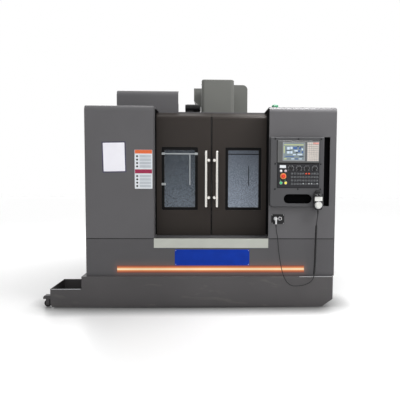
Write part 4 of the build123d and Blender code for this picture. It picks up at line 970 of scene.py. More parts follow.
PILOT_ROSE = Plastic("rose pilot lens", light(196, 176, 186), roughness=0.2, coat=0.6)
DIAL_WHITE = Plastic("white dial plastic", light(228, 228, 224), roughness=0.35, coat=0.2)
CABLE = Plastic("black cable jacket", light(24, 24, 25), roughness=0.45, grains=900.0)
TREAD = Plastic("black wheel rubber", light(30, 30, 31), roughness=0.6, grains=400.0, grain_height=0.0002)
CLIP = Plastic("milky clip", light(168, 172, 174), roughness=0.3, coat=0.3)
STRIP = StripGlow("warm strip cover", light(206, 120, 82))
SCREEN = Glow("lit screen", light(132, 144, 148), strength=1.0, shimmer=0.06)
SCREEN_PALE = Glow("pale screen tile", light(206, 222, 236), strength=1.0, shimmer=0.05)
SCREEN_BLUE = Glow("blue screen tile", light(74, 104, 158), strength=1.0, shimmer=0.05)
SCREEN_DARK = Glow("dark screen tile", light(52, 62, 84), strength=1.0, shimmer=0.05)
SCREEN_LIME = Glow("lime screen strip", light(200, 208, 146), strength=1.0, shimmer=0.05)
LED_RED = Glow("red key light", light(238, 92, 62), strength=1.1, shimmer=0.05)
LED_GREEN = Glow("green key light", light(110, 214, 140), strength=0.9, shimmer=0.05)
LED_WHITE = Glow("white key light", light(226, 232, 236), strength=0.9, shimmer=0.05)
PANE_LEFT = WindowPane("left window pane", light(58, 65, 72), film=light(128, 138, 150), thin=0.1, thick=0.72)
PANE_RIGHT = WindowPane(
    "right window pane", light(79, 86, 97), film=light(160, 171, 186), thin=0.1, thick=0.95, clear=0.2)

NODE_FINISHES: dict[Finish, tuple[str, ...]] = {
    CASTING: ("bed", "column", "spindle_head", "changer_box"),
    GROUND_IRON: ("saddle", "table", "arm_sleeve"),
    SCREW_STEEL: ("y_screw", "x_screw", "z_screw", "spindle", "change_arm", "levelling_feet"),
    STAINLESS: ("way_cover_front", "way_cover_middle", "sill_plate"),
    HANDLE_STEEL: ("left_handle", "right_handle"),
    ENAMEL: ("axis_motors", "x_axis_motor", "changer_motor", "connector_panel"),
    COVER: ("head_cover", "column_cover", "electrical_cabinet", "cabinet_door"),
    GUARD: ("left_housing", "right_housing", "enclosure_panels", "chip_pan", "magazine_cover"),
    LOWER: ("lower_guard",),
    DOOR: ("left_door", "right_door"),
    TANK: ("coolant_tank",),
    BOX: ("control_box",),
    BEZEL: ("display_unit",),
    PANEL: ("key_panel",),
    PANE_LEFT: ("left_window",),
    PANE_RIGHT: ("right_window",),
    STRIP: ("light_bar",),
    LAMP_GREEN: ("signal_lamp",),
    STOP_RED: ("emergency_stop",),
    START_GREEN: ("start_button",),
    HOLD_YELLOW: ("hold_button",),
    KNOB: (
        "knob_1", "knob_2", "knob_3", "knob_4", "pendant_holder", "pendant_body", "pendant_axis_knob",
        "pendant_step_knob",
    ),
    DIAL_WHITE: ("pendant_wheel",),
    NICKEL: ("cord_plug", "tool_disc"),
    CABLE: ("pendant_cord", "pendant_coil"),
    TREAD: ("tank_wheels_left", "tank_wheels_right"),
}


@dataclass(frozen=True)
class FrameDress:
    """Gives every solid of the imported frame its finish."""

    finishes: dict[Finish, tuple[str, ...]] = field(default_factory=lambda: NODE_FINISHES)

    def build(self, frame: dict[str, Any]) -> None:
        """Assign the finishes by node name.
        """
        left = set(frame["nodes"])
        for finish, names in self.finishes.items():
            for name in names:
                slots = frame["nodes"][name].data.materials
                slots.clear()
                slots.append(finish.material())
                left.discard(name)
        LOG.info("finishes given, nodes without one: %s", sorted(left))


@dataclass(frozen=True)
class PhotoCamera:
    """Camera at the place and height of the photographer's."""

    side: float = 27.0
    distance: float = 4498.0
    height: float = 1354.0
    drop: float = 3.69
    roll: float = -0.32
    turn: float = -1.73
    focal_pixels: float = 450.0
    shift: Pair = (-0.0695, 0.0062)
    sensor: float = 36.0
    sight: float = 200.0

    def build(self) -> None:
        """Make the camera and use it for the scene."""
        data = bpy.data.cameras.new("photo camera")
        data.sensor_width = self.sensor
        data.lens = self.focal_pixels / PHOTO_PIXELS * self.sensor
        data.shift_x, data.shift_y = self.shift
        data.clip_end = self.sight
        camera = show("photo camera", data)
        camera.location = row(self.side, -self.distance, self.height)
        camera.rotation_euler = [math.radians(value) for value in (90 - self.drop, self.roll, self.turn)]
        bpy.context.scene.camera = camera


@dataclass(frozen=True)
class SoftLamp:
    """One large soft area lamp."""

    name: str
    place: Point
    target: Point
    width: float
    height: float
    power: float
    spread: float = 180.0

    def build(self) -> None:
        """Make the lamp and aim it."""
        data = bpy.data.lights.new(self.name, "AREA")
        data.shape = "RECTANGLE"
        data.size = self.width
        data.size_y = self.height
        data.energy = self.power
        data.spread = math.radians(self.spread)
        lamp = show(self.name, data)
        lamp.location = self.place
        aim = Vector(self.target) - Vector(self.place)
        lamp.rotation_euler = aim.to_track_quat("-Z", "Y").to_euler()
        lamp.visible_camera = False


@dataclass(frozen=True)
class Studio:
    """White room: even sky light, soft lamps and a pale glossy floor with painted shade near the machine,
    whiter farther off.
    """

    sky: float = 0.5
    floor_size: float = 40.0
    floor_colour: Colour = (0.93, 0.93, 0.93)
    joint_colour: Colour = (0.02, 0.02, 0.02)
    joint_reach: float = 0.3
    joint_power: float = 2.6
    floor_roughness: float = 0.32
    floor_squeeze: Point = (0.6, 0.62, 0)
    white_from: float = 0.3
    white_to: float = 2.6
    white_most: float = 0.32
    lamps: tuple[SoftLamp, ...] = (
        SoftLamp("front fill", (0.3, -7.0, 4.2), (0.2, -1.0, 1.0), 5.0, 3.0, 70.0),
        SoftLamp("right top", (3.4, -2.9, 4.3), (1.1, -0.9, 1.9), 2.2, 2.2, 135.0),
        SoftLamp("over the right", (1.13, -1.08, 3.1), (1.13, -1.02, 2.0), 0.8, 0.3, 6.0, spread=64.0),
        SoftLamp("over the top", (0.2, -0.6, 5.6), (0.2, -0.4, 1.9), 4.0, 2.4, 60.0),
        SoftLamp("back rim", (-2.5, 4.5, 4.5), (0.2, 0.6, 1.2), 3.0, 2.0, 90.0),
    )

    def build(self) -> None:
        """Make the world, the lamps and the floor."""
        bpy.context.scene.view_settings.view_transform = "Standard"
        self.build_world()
        for lamp in self.lamps:
            lamp.build()
        self.build_floor()

    def build_world(self) -> None:
        """Give an even sky, plain white where it is looked at."""
        world = bpy.data.worlds.new("white room")
        bpy.context.scene.world = world
        world.use_nodes = True
        world.node_tree.nodes.clear()
        sheet = Sheet(world.node_tree)
        plain = {"Color": (1, 1, 1, 1)}
        soft = sheet.add("ShaderNodeBackground", "light on the object", plain | {"Strength": self.sky})
        white = sheet.add("ShaderNodeBackground", "white where looked at", plain)
        mix = sheet.add("ShaderNodeMixShader", "which of the two")
        leave = sheet.add("ShaderNodeOutputWorld", "world")
        sheet.join(
            (self.looked_at(sheet), "Value", mix, "Fac"), (soft, "Background", mix, 1),
            (white, "Background", mix, 2), (mix, "Shader", leave, "Surface"))

    def looked_at(self, sheet: Sheet) -> bpy.types.Node:
        """Mark rays that see the backdrop itself, straight, in a mirror or through glass.

        Args:
            sheet: Node tree helper.

        Returns:
            The node whose value is one for such rays.
        """
        path = sheet.add("ShaderNodeLightPath", "kind of ray")
        first = sheet.math("camera or glass", "MAXIMUM")
        second = sheet.math("or mirror", "MAXIMUM")
        sheet.join(
            (path, "Is Camera Ray", first, 0), (path, "Is Transmission Ray", first, 1),
            (first, "Value", second, 0), (path, "Is Glossy Ray", second, 1))
        return second

    def build_floor(self) -> None:
        """Lay the pale floor, with painted shade darker close to the machine and whiter farther off."""
        half = self.floor_size / 2
        mesh = bpy.data.meshes.new("floor")
        ends = [(-half, -half, 0), (half, -half, 0), (half, half, 0), (-half, half, 0)]
        mesh.from_pydata(ends, [], [(0, 1, 2, 3)])
        made = bpy.data.materials.new("pale floor")
        made.use_nodes = True
        sheet = Sheet(made.node_tree)
        shader = made.node_tree.nodes["Principled BSDF"]
        set_inputs(shader, {"Roughness": self.floor_roughness, "Specular IOR Level": 0.5})
        # Painted contact shadow: occlusion darkens the floor's colour near the machine.
        reach = {"Distance": self.joint_reach}
        hidden = sheet.add("ShaderNodeAmbientOcclusion", "painted contact shadow", reach)
        deepen = sheet.math("painted shadow, deepest at the contact", "POWER", {1: self.joint_power})
        shade = sheet.mix("floor colour", A=self.joint_colour, B=self.floor_colour)
        glow = sheet.add("ShaderNodeEmission", "white where looked at")
        power = sheet.math("how much is added", "MULTIPLY")
        # Painted shade: less white is added near the machine.
        squeeze = sheet.vector_math("as wide as the machine", "MULTIPLY", {1: self.floor_squeeze})
        away = sheet.vector_math("how far off", "LENGTH")
        rise = sheet.span("whiter farther off", self.white_from, self.white_to, 0, self.white_most)
        rise.interpolation_type = "SMOOTHSTEP"
        add = sheet.add("ShaderNodeAddShader", "floor and its white")
        sheet.join(
            (hidden, "AO", deepen, 0), (deepen, "Value", shade, "Factor"),
            (shade, "Result", shader, "Base Color"), (sheet.place(), "Object", squeeze, 0),
            (squeeze, "Vector", away, 0), (away, "Value", rise, "Value"),
            (rise, "Result", power, 1), (self.looked_at(sheet), "Value", power, 0),
            (power, "Value", glow, "Strength"), (shader, "BSDF", add, 0), (glow, "Emission", add, 1),
            (add, "Shader", made.node_tree.nodes["Material Output"], "Surface"))
        mesh.materials.append(made)
        floor = show("floor", mesh)


@dataclass(frozen=True)
class PendantCord:
    """Pendant cord: a straight lead, a curly section and a tail that loops back to the socket."""

    lead: tuple[Point, ...] = (
        (1.274, -1.23285, 0.983), (1.274, -1.23285, 0.939), (1.266, -1.22985, 0.882),
    )
    coil: tuple[Point, ...] = (
        (1.262, -1.22385, 0.820), (1.260, -1.21985, 0.560), (1.253, -1.21985, 0.378),
    )
    tail: tuple[Point, ...] = (
        (1.247, -1.21985, 0.308), (1.213, -1.21985, 0.266), (1.157, -1.21985, 0.242),
        (1.087, -1.21985, 0.230), (1.019, -1.21885, 0.233), (0.969, -1.21785, 0.276),
        (0.935, -1.21585, 0.352), (0.915, -1.21385, 0.444), (0.897, -1.21185, 0.548),
        (0.886, -1.21085, 0.650), (0.879, -1.20785, 0.734), (0.864, -1.20185, 0.794),
        (0.864, -1.20185, 0.852),
    )
    coil_top: float = 0.851
    coil_end: float = 0.343
    radius: float = 0.004
    turn_radius: float = 0.007
    pitch: float = 0.0098
    points_per_turn: int = 14
    easing_turns: float = 1.5
    length: float = 3.3

    def spline(self, name: str, points: Sequence[Point], resolution: int) -> bpy.types.Curve:
        """Make one open smooth spline with the given control points.

        Args:
            name: Name of the curve.
            points: Control points in metres.
            resolution: Steps between control points.

        Returns:
            The curve.
        """
        curve = bpy.data.curves.new(name, "CURVE")
        curve.dimensions = "3D"
        curve.resolution_u = resolution
        line = curve.splines.new("NURBS")
        line.points.add(len(points) - 1)
        line.points.foreach_set("co", np.column_stack([points, np.ones(len(points))]).ravel())
        line.order_u = 3
        line.use_endpoint_u = True
        line.resolution_u = resolution
        return curve

    def centre_line(self) -> np.ndarray:
        """Read the smooth route as the spline gives it.

        Returns:
            Points along the route.
        """
        curve = self.spline("route", self.lead + self.coil + self.tail, 48)
        holder = bpy.data.objects.new("route", curve)
        mesh = bpy.data.meshes.new_from_object(holder)
        flat = np.empty(len(mesh.vertices) * 3)
        mesh.vertices.foreach_get("co", flat)
        bpy.data.objects.remove(holder)
        bpy.data.curves.remove(curve)
        bpy.data.meshes.remove(mesh)
        return flat.reshape(-1, 3)

    def helix(self, line: np.ndarray) -> list[Point]:
        """Wind the curly section round the route: a level circle about each place, slimmer at both ends.

        Args:
            line: Points along the route.

        Returns:
            Control points of the winding.
        """
        run = line[:int(np.argmin(line[:, 2]))]
        run = run[(run[:, 2] <= self.coil_top) & (run[:, 2] >= self.coil_end)]
        along = np.concatenate([[0.0], np.cumsum(np.linalg.norm(np.diff(run, axis=0), axis=1))])
        turns = round(along[-1] / self.pitch)
        share = np.linspace(0, 1, turns * self.points_per_turn + 1)
        places = np.column_stack([np.interp(share * along[-1], along, run[:, axis]) for axis in range(3)])
        ease = np.minimum(1.0, np.minimum(share, 1 - share) * turns / self.easing_turns)
        angle = 2 * math.pi * share * turns
        places[:, 0] += self.turn_radius * ease * np.cos(angle)
        places[:, 1] += self.turn_radius * ease * np.sin(angle)
        return [tuple(place) for place in places.tolist()]

    def build(self, frame: dict[str, Any], reliefs: Sequence[bpy.types.Object]) -> None:
        """Make the cord in place of its plain solids.

        Args:
            frame: Loaded frame; not used.
            reliefs: Sleeves at the cord's two ends; not used.
        """
        curve = self.spline("pendant_cable", self.lead + tuple(self.helix(self.centre_line())) + self.tail, 3)
        curve.bevel_depth = self.radius
        curve.bevel_resolution = 3
        curve.use_fill_caps = True
        curve.materials.append(CABLE.material())
        cable = show("pendant_cable", curve)
        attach(cable, ROOT)
        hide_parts("pendant_cord", "pendant_coil")
        LOG.info("cord with %d control points", len(curve.splines[0].points))


@dataclass(frozen=True)
class WindowDress:
    """Seal, clips and film strips of one door's window, and the door's own rubber edge."""

    side: Side
    middle: float = 334.0
    foot: float = 967.0
    head: float = 1626.0
    width: float = 380.0
    band: float = 27.0
    ledge: float = 247.9
    pane: float = 250.9
    face: float = 240.0
    bend: float = 1948.0
    bend_radius: float = 36.0
    slant: float = 15.44
    skin_out: float = 0.5
    skin_in: float = 0.8
    lap: float = 6.0
    posts: Pair = (1099, 1490)
    post_side: float = 31.0
    edge: tuple[float, ...] = (4.5, 1325, 6, 1232)

    def build(self) -> None:
        """Make the pieces that ride on the door."""
        body = f"{self.side.word}_door"
        x = self.side.value * self.middle
        z = (self.foot + self.head) / 2
        width, height = self.width - 2, self.head - self.foot - 2
        seal = Form().rim((x, self.ledge, z), width, height, self.band, 2.8, radius=8)
        aside, level, wide, tall = self.edge
        seal.plate((self.side.value * aside, self.face, level), wide, tall, 1.6, radius=1, bevel=0.5)
        seal.build(f"{body}_window_seal", body, SEAL, "panel_black")
        self.build_bend(body)
        self.build_rosettes(body)
        if self.side is Side.LEFT:
            self.build_clips(body, x)
        else:
            strip = Form().plate((x, self.pane, 1556), self.width - 56, 9, 1.0, radius=1, bevel=0.3)
            strip.plate((x + 56, self.pane, 1330), 7, 210, 0.9, radius=1, bevel=0.3)
            strip.build(f"{body}_film_edge", body, SEAL, "panel_black")

    def build_clips(self, body: str, x: float) -> None:
        """Make the milky strip with its clips at the head of the left window.

        Args:
            body: Name of the door's body.
            x: Middle of the window.
        """
        front = self.ledge - 2.8
        clips = Form().plate((x, self.pane, 1557), self.width - 58, 12, 1.4, radius=2, bevel=0.4)
        for dx, z, wide in ((-172, 1557, 34), (172, 1557, 34), (-168, 1239, 44)):
            clips.plate((x + dx, front, z), wide, 24, 2.2, radius=4, bevel=0.8)
            clips.turned((x + dx, front - 2.2, z), ((4.4, 0.0), (4.4, 0.8), (3.2, 1.5), (0.6, 1.6)))
        clips.plate((x + 106, self.pane, 1390), 9, 320, 1.0, radius=1, bevel=0.3)
        clips.build(f"{body}_clips", body, CLIP, "dial_white")

    def build_bend(self, body: str) -> None:
        """Make the thin skin over the bend below the door's slanted top: two arcs with straight ends.

        Args:
            body: Name of the door's body.
        """
        low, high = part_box(body)
        start, end = (place * 1000 + GUARD_MIDDLE for place in (low[0], high[0]))
        slope = math.radians(self.slant)
        tangent = self.bend_radius * math.tan((math.pi / 2 - slope) / 2)
        centre = (self.face + self.bend_radius, self.bend - tangent)
        angles = np.linspace(math.pi, math.pi / 2 + slope, 13)
        outline: list[Pair] = []
        for radius in (self.bend_radius + self.skin_out, self.bend_radius - self.skin_in):
            arc = [(centre[0] + radius * math.cos(a), centre[1] + radius * math.sin(a)) for a in angles]
            foot = (arc[0][0], arc[0][1] - self.lap)
            head = (arc[-1][0] + self.lap * math.cos(slope), arc[-1][1] + self.lap * math.sin(slope))
            line = [foot, *arc, head]
            outline += line[::-1] if outline else line
        Form().strip(outline, start + 0.4, end - 0.4).build(f"{body}_bend_skin", body, DOOR, "door_dark")

    def build_rosettes(self, body: str) -> None:
        """Make the turned collars where the handle's posts meet the door.

        Args:
            body: Name of the door's body.
        """
        profile = ((17, 0.0), (17, 2.4), (15.6, 4.0), (11.4, 4.6), (11.2, 9.0), (10.4, 9.6))
        collars = Form()
        for z in self.posts:
            collars.turned((self.side.value * self.post_side, self.face, z), profile, segments=32)
        collars.build(f"{body}_handle_collars", body, HANDLE_STEEL, "stainless")


@dataclass(frozen=True)
class FrontSigns:
    """Plain sheet, label and plate on the guard's front; they carry no words."""

    notice: Pair = (-963, 1510)
    notice_size: Pair = (232, 302)
    paper_size: Pair = (212, 282)
    lean: float = 1.3
    label: Pair = (-673.5, 1390.5)
    label_size: Pair = (175, 385)
    band_width: float = 169.0
    header_level: float = 1564.0
    band_level: float = 1370.0
    tables: tuple[Pair, Pair] = ((1402, 1536), (1208, 1340))
    table_rows: int = 4
    plate: Pair = (10, 507.5)
    plate_size: Pair = (752, 163)
    rivets: Pair = (366, 71)

    def build(self) -> None:
        """Make the notice sheet, the label with its colour fields and the blue plate."""
        x, z = self.notice
        border = Form().plate((x, 0, z), *self.notice_size, 0.6, radius=3, bevel=0.2, turn=self.lean)
        border.build("notice_border", ROOT, NAVY, "panel_black")
        paper = Form().plate((x, -0.6, z), *self.paper_size, 0.5, radius=2, bevel=0.2, turn=self.lean)
        paper.build("notice_paper", ROOT, PAPER, "dial_white")
        self.build_label()
        x, z = self.plate
        plate = Form().plate((x, 0, z), *self.plate_size, 2.0, radius=5, bevel=0.9)
        plate.build("front_plate", ROOT, PLATE_BLUE, "guard_grey")
        rivets = Form()
        dome = ((3.6, 0.0), (3.4, 0.9), (2.4, 1.7), (0.5, 2.0))
        for aside, up in product((-1, 1), (-1, 1)):
            rivets.turned((x + aside * self.rivets[0], -2, z + up * self.rivets[1]), dome, segments=16)
        rivets.build("front_plate_rivets", ROOT, ZINC, "stainless")

    def build_label(self) -> None:
        """Make the tall label: white ground, two colour bands and pale grey blocks with dots."""
        x, z = self.label
        ground = Form().plate((x, 0, z), *self.label_size, 0.5, radius=3, bevel=0.2)
        ground.build("side_label", ROOT, LABEL_WHITE, "dial_white")
        top = Form().plate((x, -0.5, self.header_level), self.band_width, 36, 0.3, radius=2, bevel=0.1)
        top.build("side_label_header", ROOT, LABEL_ORANGE, "hold_yellow")
        band = Form().plate((x, -0.5, self.band_level), self.band_width, 40, 0.3, radius=2, bevel=0.1)
        band.build("side_label_band", ROOT, LABEL_CRIMSON, "stop_red")
        blocks = Form()
        dots = Form()
        for low, high in self.tables:
            step = (high - low) / self.table_rows
            for k in range(self.table_rows):
                level = low + step * (k + 0.5)
                blocks.plate((x + 18, -0.5, level), 112, step - 7, 0.25, radius=2, bevel=0.1)
                dots.plate((x - 63, -0.5, level), 20, 20, 0.3, radius=9.9, bevel=0.1)
        blocks.build("side_label_blocks", ROOT, LABEL_GREY, "dial_white")
        dots.build("side_label_dots", ROOT, KNOB, "knob_black")


@dataclass(frozen=True)
class LightStripDress:
    """Amber emissive bands above and below the long light: its halo on the guard as painted glow."""

    half_length: float = 944.0
    middle: float = 390.0
    opening: float = 34.0
    band: float = 20.0

    def build(self) -> None:
        """Make the painted glow bands above and below the strip."""
        bands = Form()
        for way in (-1, 1):
            level = self.middle + way * (self.opening + self.band) / 2
            bands.plate((0, 0, level), 2 * self.half_length, self.band, 1.0, radius=4, bevel=0.5)
        bands.build("light_bands", ROOT, STRIP, "light_diffuser")


@dataclass(frozen=True)
class GuardSeams:
    """Dark joint strips between the housings and the lower guard, and near-black seals in the doorway, which
    also stand in as painted shade on its side faces.
    """

    half_width: float = 1250.0
    half_opening: float = 575.0
    seam: float = 698.0
    top: float = 2005.0
    doors: float = 232.0
    lift: float = 20.0

    def build(self) -> None:
        """Make the strips."""
        joint = Form()
        middle = (self.half_width + self.half_opening) / 2
        for way in (-1, 1):
            length = self.half_width - self.half_opening - 4
            joint.plate((way * middle, 0, self.seam), length, 6.5, 0.5, radius=1, bevel=0.2)
        joint.build("guard_joints", ROOT, SEAL, "panel_black")
        # Near-black plates over the doorway's side faces: partly rubber seal, partly painted shade of the
        # recess.
        seals = Form()
        height = self.top - self.seam - self.lift
        for way, start, facing in ((-1, 120, Facing.RIGHT), (1, 14, Facing.LEFT)):
            deep = self.doors - start
            place = (way * self.half_opening, start + deep / 2, self.seam + self.lift + height / 2)
            seals.plate(place, deep, height, 1.4, facing, radius=1, bevel=0.4)
        seals.build("doorway_seals", ROOT, SHADE_LINING, "panel_black")


@dataclass(frozen=True)
class OperatorStation:
    """Printed, lit and screwed details of the operator's box; each tile is its place and its size."""

    face: float = -45.0
    display_face: float = -53.0
    panel_face: float = -47.0
    screw_columns: tuple[float, ...] = (630, 858, 1084)
    screw_levels: tuple[float, ...] = (1202, 1451, 1698)
    screen: Pair = (813, 1571.5)
    screen_size: Pair = (208, 167)
    ring_steps: int = 11
    ring_sweep: float = 260.0
    knobs: tuple[float, ...] = (788.0, 867.0, 946.0, 1025.0)
    knob_level: float = 1409.0
    buttons: Pair = (689, 735)
    button_level: float = 1263.0
    pilot_level: float = 1382.0
    stop: Pair = (712, 1330)
    pad: Pair = (1002.5, 1572)
    pad_size: Pair = (119, 188)
    pad_corner: Pair = (955, 1490)
    pad_pitch: Pair = (19, 20.5)
    key_corner: Pair = (800, 1254.5)
    key_pitch: Pair = (28, 34)
    recess: Point = (1156.5, 29.6, 1376)
    recess_size: Pair = (57, 690)
    pocket: Point = (859.5, -5.1, 1105.5)
    pocket_size: Pair = (279, 91)
    felt: float = 0.7
    box: Point = (848.5, 0, 1371)
    box_size: Pair = (538, 699)
    border: float = 4.5
    tiles: tuple[tuple[Finish, tuple[tuple[float, ...], ...]], ...] = (
        (SCREEN_LIME, ((0, 68, 194, 8), (-96, 20, 8, 70), (-84, -70, 26, 9))),
        (SCREEN_PALE, (
            (-54, 34, 26, 26), (-24, 38, 22, 22), (-54, -6, 26, 24), (-24, -6, 22, 24), (22, 10, 34, 14),
            (60, -26, 48, 16), (6, -28, 30, 12), (84, 24, 14, 18), (-10, -70, 30, 9), (66, -70, 30, 9),
        )),
        (SCREEN_BLUE, (
            (14, 36, 40, 24), (60, 34, 22, 20), (52, 6, 20, 18), (86, -4, 14, 20), (-40, -46, 88, 8),
            (28, -70, 30, 9),
        )),
        (SCREEN_DARK, (
            (40, 50, 22, 8), (76, 48, 28, 8), (-52, 12, 54, 6), (30, -8, 20, 10), (76, -46, 42, 8),
        )),
    )

    def build(self) -> None:
        """Make all details of the station."""
        self.build_screws()
        self.build_screen()
        self.build_keypad()
        self.build_key_marks()
        self.build_scales()
        self.build_lamps()
        self.build_pointers()
        self.build_slot_lining()

    def build_screws(self) -> None:
        """Make the socket screws round the display and the key panel, none in the middle."""
        profile = ((7.6, 0.0), (7.6, 2.6), (6.8, 3.2), (4.0, 3.2), (3.6, 1.2), (0.4, 1.2))
        screws = Form()
        for x, z in product(self.screw_columns, self.screw_levels):
            if (x, z) != (self.screw_columns[1], self.screw_levels[1]):
                screws.turned((x, self.face, z), profile, segments=18)
        screws.build("box_screws", ROOT, DARK_SCREW, "screw_steel")

    def build_screen(self) -> None:
        """Make the screen, its inner frame and the tiles shown on it."""
        x, z = self.screen
        deep = self.display_face + 3
        width, height = self.screen_size
        frame = Form().rim((x, self.display_face, z), width + 14, height + 14, 7, 1.2, radius=5)
        frame.build("screen_frame", ROOT, MARK_GREY, "display_grey")
        screen = Form().plate((x, deep, z), width, height, 0.6, radius=2, bevel=0.2)
        screen.build("screen", ROOT, SCREEN, "light_diffuser")
        for finish, places in self.tiles:
            group = Form()
            for dx, dz, width, height in places:
                group.plate((x + dx, deep - 0.6, z + dz), width, height, 0.3, radius=1.5, bevel=0.1)
            group.build(f"screen_tiles_{finish.name.split()[0]}", ROOT, finish, "light_diffuser")

    def build_keypad(self) -> None:
        """Make the beige keypad: a film with one cap over each key, rose ones at the top right."""
        x, z = self.pad
        film = Form().plate((x, self.display_face, z), *self.pad_size, 0.5, radius=3, bevel=0.2)
        film.build("keypad_film", ROOT, MARK_GREY, "dial_white")
        beige = Form()
        rose = Form()
        for column, level in product(range(6), range(9)):
            target = rose if level == 8 and column > 2 else beige
            x = self.pad_corner[0] + column * self.pad_pitch[0]
            z = self.pad_corner[1] + level * self.pad_pitch[1]
            target.plate((x, self.display_face - 0.4, z), 16.2, 17.0, 2.9, radius=2.4, bevel=0.8)
        beige.build("keypad_caps", ROOT, KEY_BEIGE, "dial_white")
        rose.build("keypad_rose_caps", ROOT, KEY_ROSE, "dial_white")

    def build_key_marks(self) -> None:
        """Make the printed frame and mark of each film key, and the lit ones."""
        front = self.panel_face - 1.5
        marks = Form()
        lamps = {LED_WHITE: Form(), LED_RED: Form(), LED_GREEN: Form()}
        for column, level in product(range(10), range(4)):
            x = self.key_corner[0] + column * self.key_pitch[0]
            z = self.key_corner[1] + level * self.key_pitch[1]
            if level == 3 and column in (5, 6):
                lamps[LED_RED].plate((x, front, z), 15, 12, 0.7, radius=3, bevel=0.3)
                continue
            marks.rim((x, front, z), 18.4, 15.4, 1.5, 0.4, radius=3, bevel=0.1)
            aside, wide = x - 2 + (column * 3 + level) % 5, 5 + (column + level) % 4
            marks.plate((aside, front, z), wide, 3.4, 0.4, radius=1, bevel=0.1)
            if level == 0 and column in (4, 6, 7, 9):
                lamp = ((4.2, 0.0), (4.0, 0.6), (1.0, 0.9))
                lamps[LED_WHITE].turned((x, front - 0.4, z + 3), lamp, segments=16)
        for x in (684, 730):
            lamp = ((3.6, 0.0), (3.4, 1.4), (1.0, 2.0))
            lamps[LED_GREEN].turned((x, self.panel_face, 1290), lamp, segments=16)
        marks.build("key_marks", ROOT, MARK_GREY, "dial_white")
        for finish, form in lamps.items():
            form.build(f"key_lights_{finish.name.split()[0]}", ROOT, finish, "light_diffuser")
        label = Form().plate((706.5, self.panel_face, 1425), 61, 28, 0.5, radius=2, bevel=0.2)
        label.build("panel_label", ROOT, LABEL_WHITE, "dial_white")

    def build_scales(self) -> None:
        """Make the tick marks round the four rotary switches, every other one longer."""
        ticks = Form()
        for x in self.knobs:
            for k in range(self.ring_steps):
                angle = -self.ring_sweep / 2 + k * self.ring_sweep / (self.ring_steps - 1)
                reach, length = (26, 5) if k % 2 else (27, 7.5)
                rise, aside = polar(reach, angle)
                place = (x + aside, self.panel_face, self.knob_level + rise)
                ticks.plate(place, 2.2, length, 0.5, radius=0.8, bevel=0.1, turn=-angle)
        ticks.build("knob_scales", ROOT, MARK_WHITE, "dial_white")

    def build_lamps(self) -> None:
        """Make the pilot lenses, the button collars and the ring of the emergency stop."""
        dome = ((10.6, 0.0), (10.6, 6.2), (9.6, 8.4), (7.0, 9.8), (3.2, 10.5), (0.4, 10.6))
        for x, finish in zip(self.buttons, (PILOT_WHITE, PILOT_ROSE)):
            lens = Form().turned((x, self.panel_face, self.pilot_level), dome, segments=28)
            lens.build(f"pilot_lens_{finish.name.split()[0]}", ROOT, finish, "light_diffuser")
        collars = Form()
        for x in self.buttons:
            nut = ((13.4, 0.0), (13.4, 1.8), (12.4, 2.8), (10.8, 2.9))
            collars.turned((x, self.panel_face, self.pilot_level), nut, segments=28)
            collars.tube_ring((x, self.panel_face - 7, self.button_level), 12.7, 15.0, 0.7)
        collars.build("lamp_collars", ROOT, NICKEL, "plug_metal")
        ring = Form().tube_ring((self.stop[0], self.panel_face - 3, self.stop[1]), 13.0, 29.6, 0.9)
        ring.build("stop_ring", ROOT, STOP_RING, "hold_yellow")

    def build_pointers(self) -> None:
        """Make the white pointer on each rotary switch."""
        for index, x in enumerate(self.knobs, 1):
            place = (x, self.panel_face - 17.3, self.knob_level + 8)
            pointer = Form().plate(place, 2.4, 13, 0.5, radius=1, bevel=0.15)
            pointer.build(f"knob_{index}_pointer", f"knob_{index}", MARK_WHITE, "dial_white")

    def build_slot_lining(self) -> None:
        """Line the tall recess and the hand pocket with near-black sheets as painted shade, frame the box
        with a dark rim as painted shadow, and seal its two panels.
        """
        x, y, z = self.recess
        width, height = (size + 2 * self.felt for size in self.recess_size)
        # Near-black sheets in the recess and the pocket: painted shade.
        lining = Form().rim((x, y - 0.2, z), width, height, 1.2, 29.0, radius=0.6, bevel=0.4)
        lining.plate(self.recess, *self.recess_size, 1.0, radius=0.5, bevel=0.2)
        lining.build("recess_lining", ROOT, SHADE_LINING, "panel_black")
        width, height = (size + 2 * self.felt for size in self.pocket_size)
        pocket = Form().rim(self.pocket, width, height, 1.0, 39.2, radius=46.2, bevel=0.3)
        pocket.plate(self.pocket, *self.pocket_size, 0.8, radius=45.4, bevel=0.2)
        pocket.build("pocket_lining", ROOT, SHADE_LINING, "panel_black")
        # Dark rim round the box: painted shadow of the gap where the box stands proud.
        shadow_rim = Form().rim(self.box, *self.box_size, 4.4, 1.2, radius=31, bevel=0.3)
        shadow_rim.build("box_gasket", ROOT, SEAL, "panel_black")
        borders = Form()
        for node in ("display_unit", "key_panel"):
            low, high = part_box(node)
            width, height = ((high[way] - low[way]) * 1000 + 2 * self.border for way in (0, 2))
            middle = ((low[0] + high[0]) * 500 + GUARD_MIDDLE, self.face, (low[2] + high[2]) * 500)
            borders.rim(middle, width, height, self.border, 1.6, radius=5, bevel=0.3)
        borders.build("panel_borders", ROOT, SEAL, "panel_black")


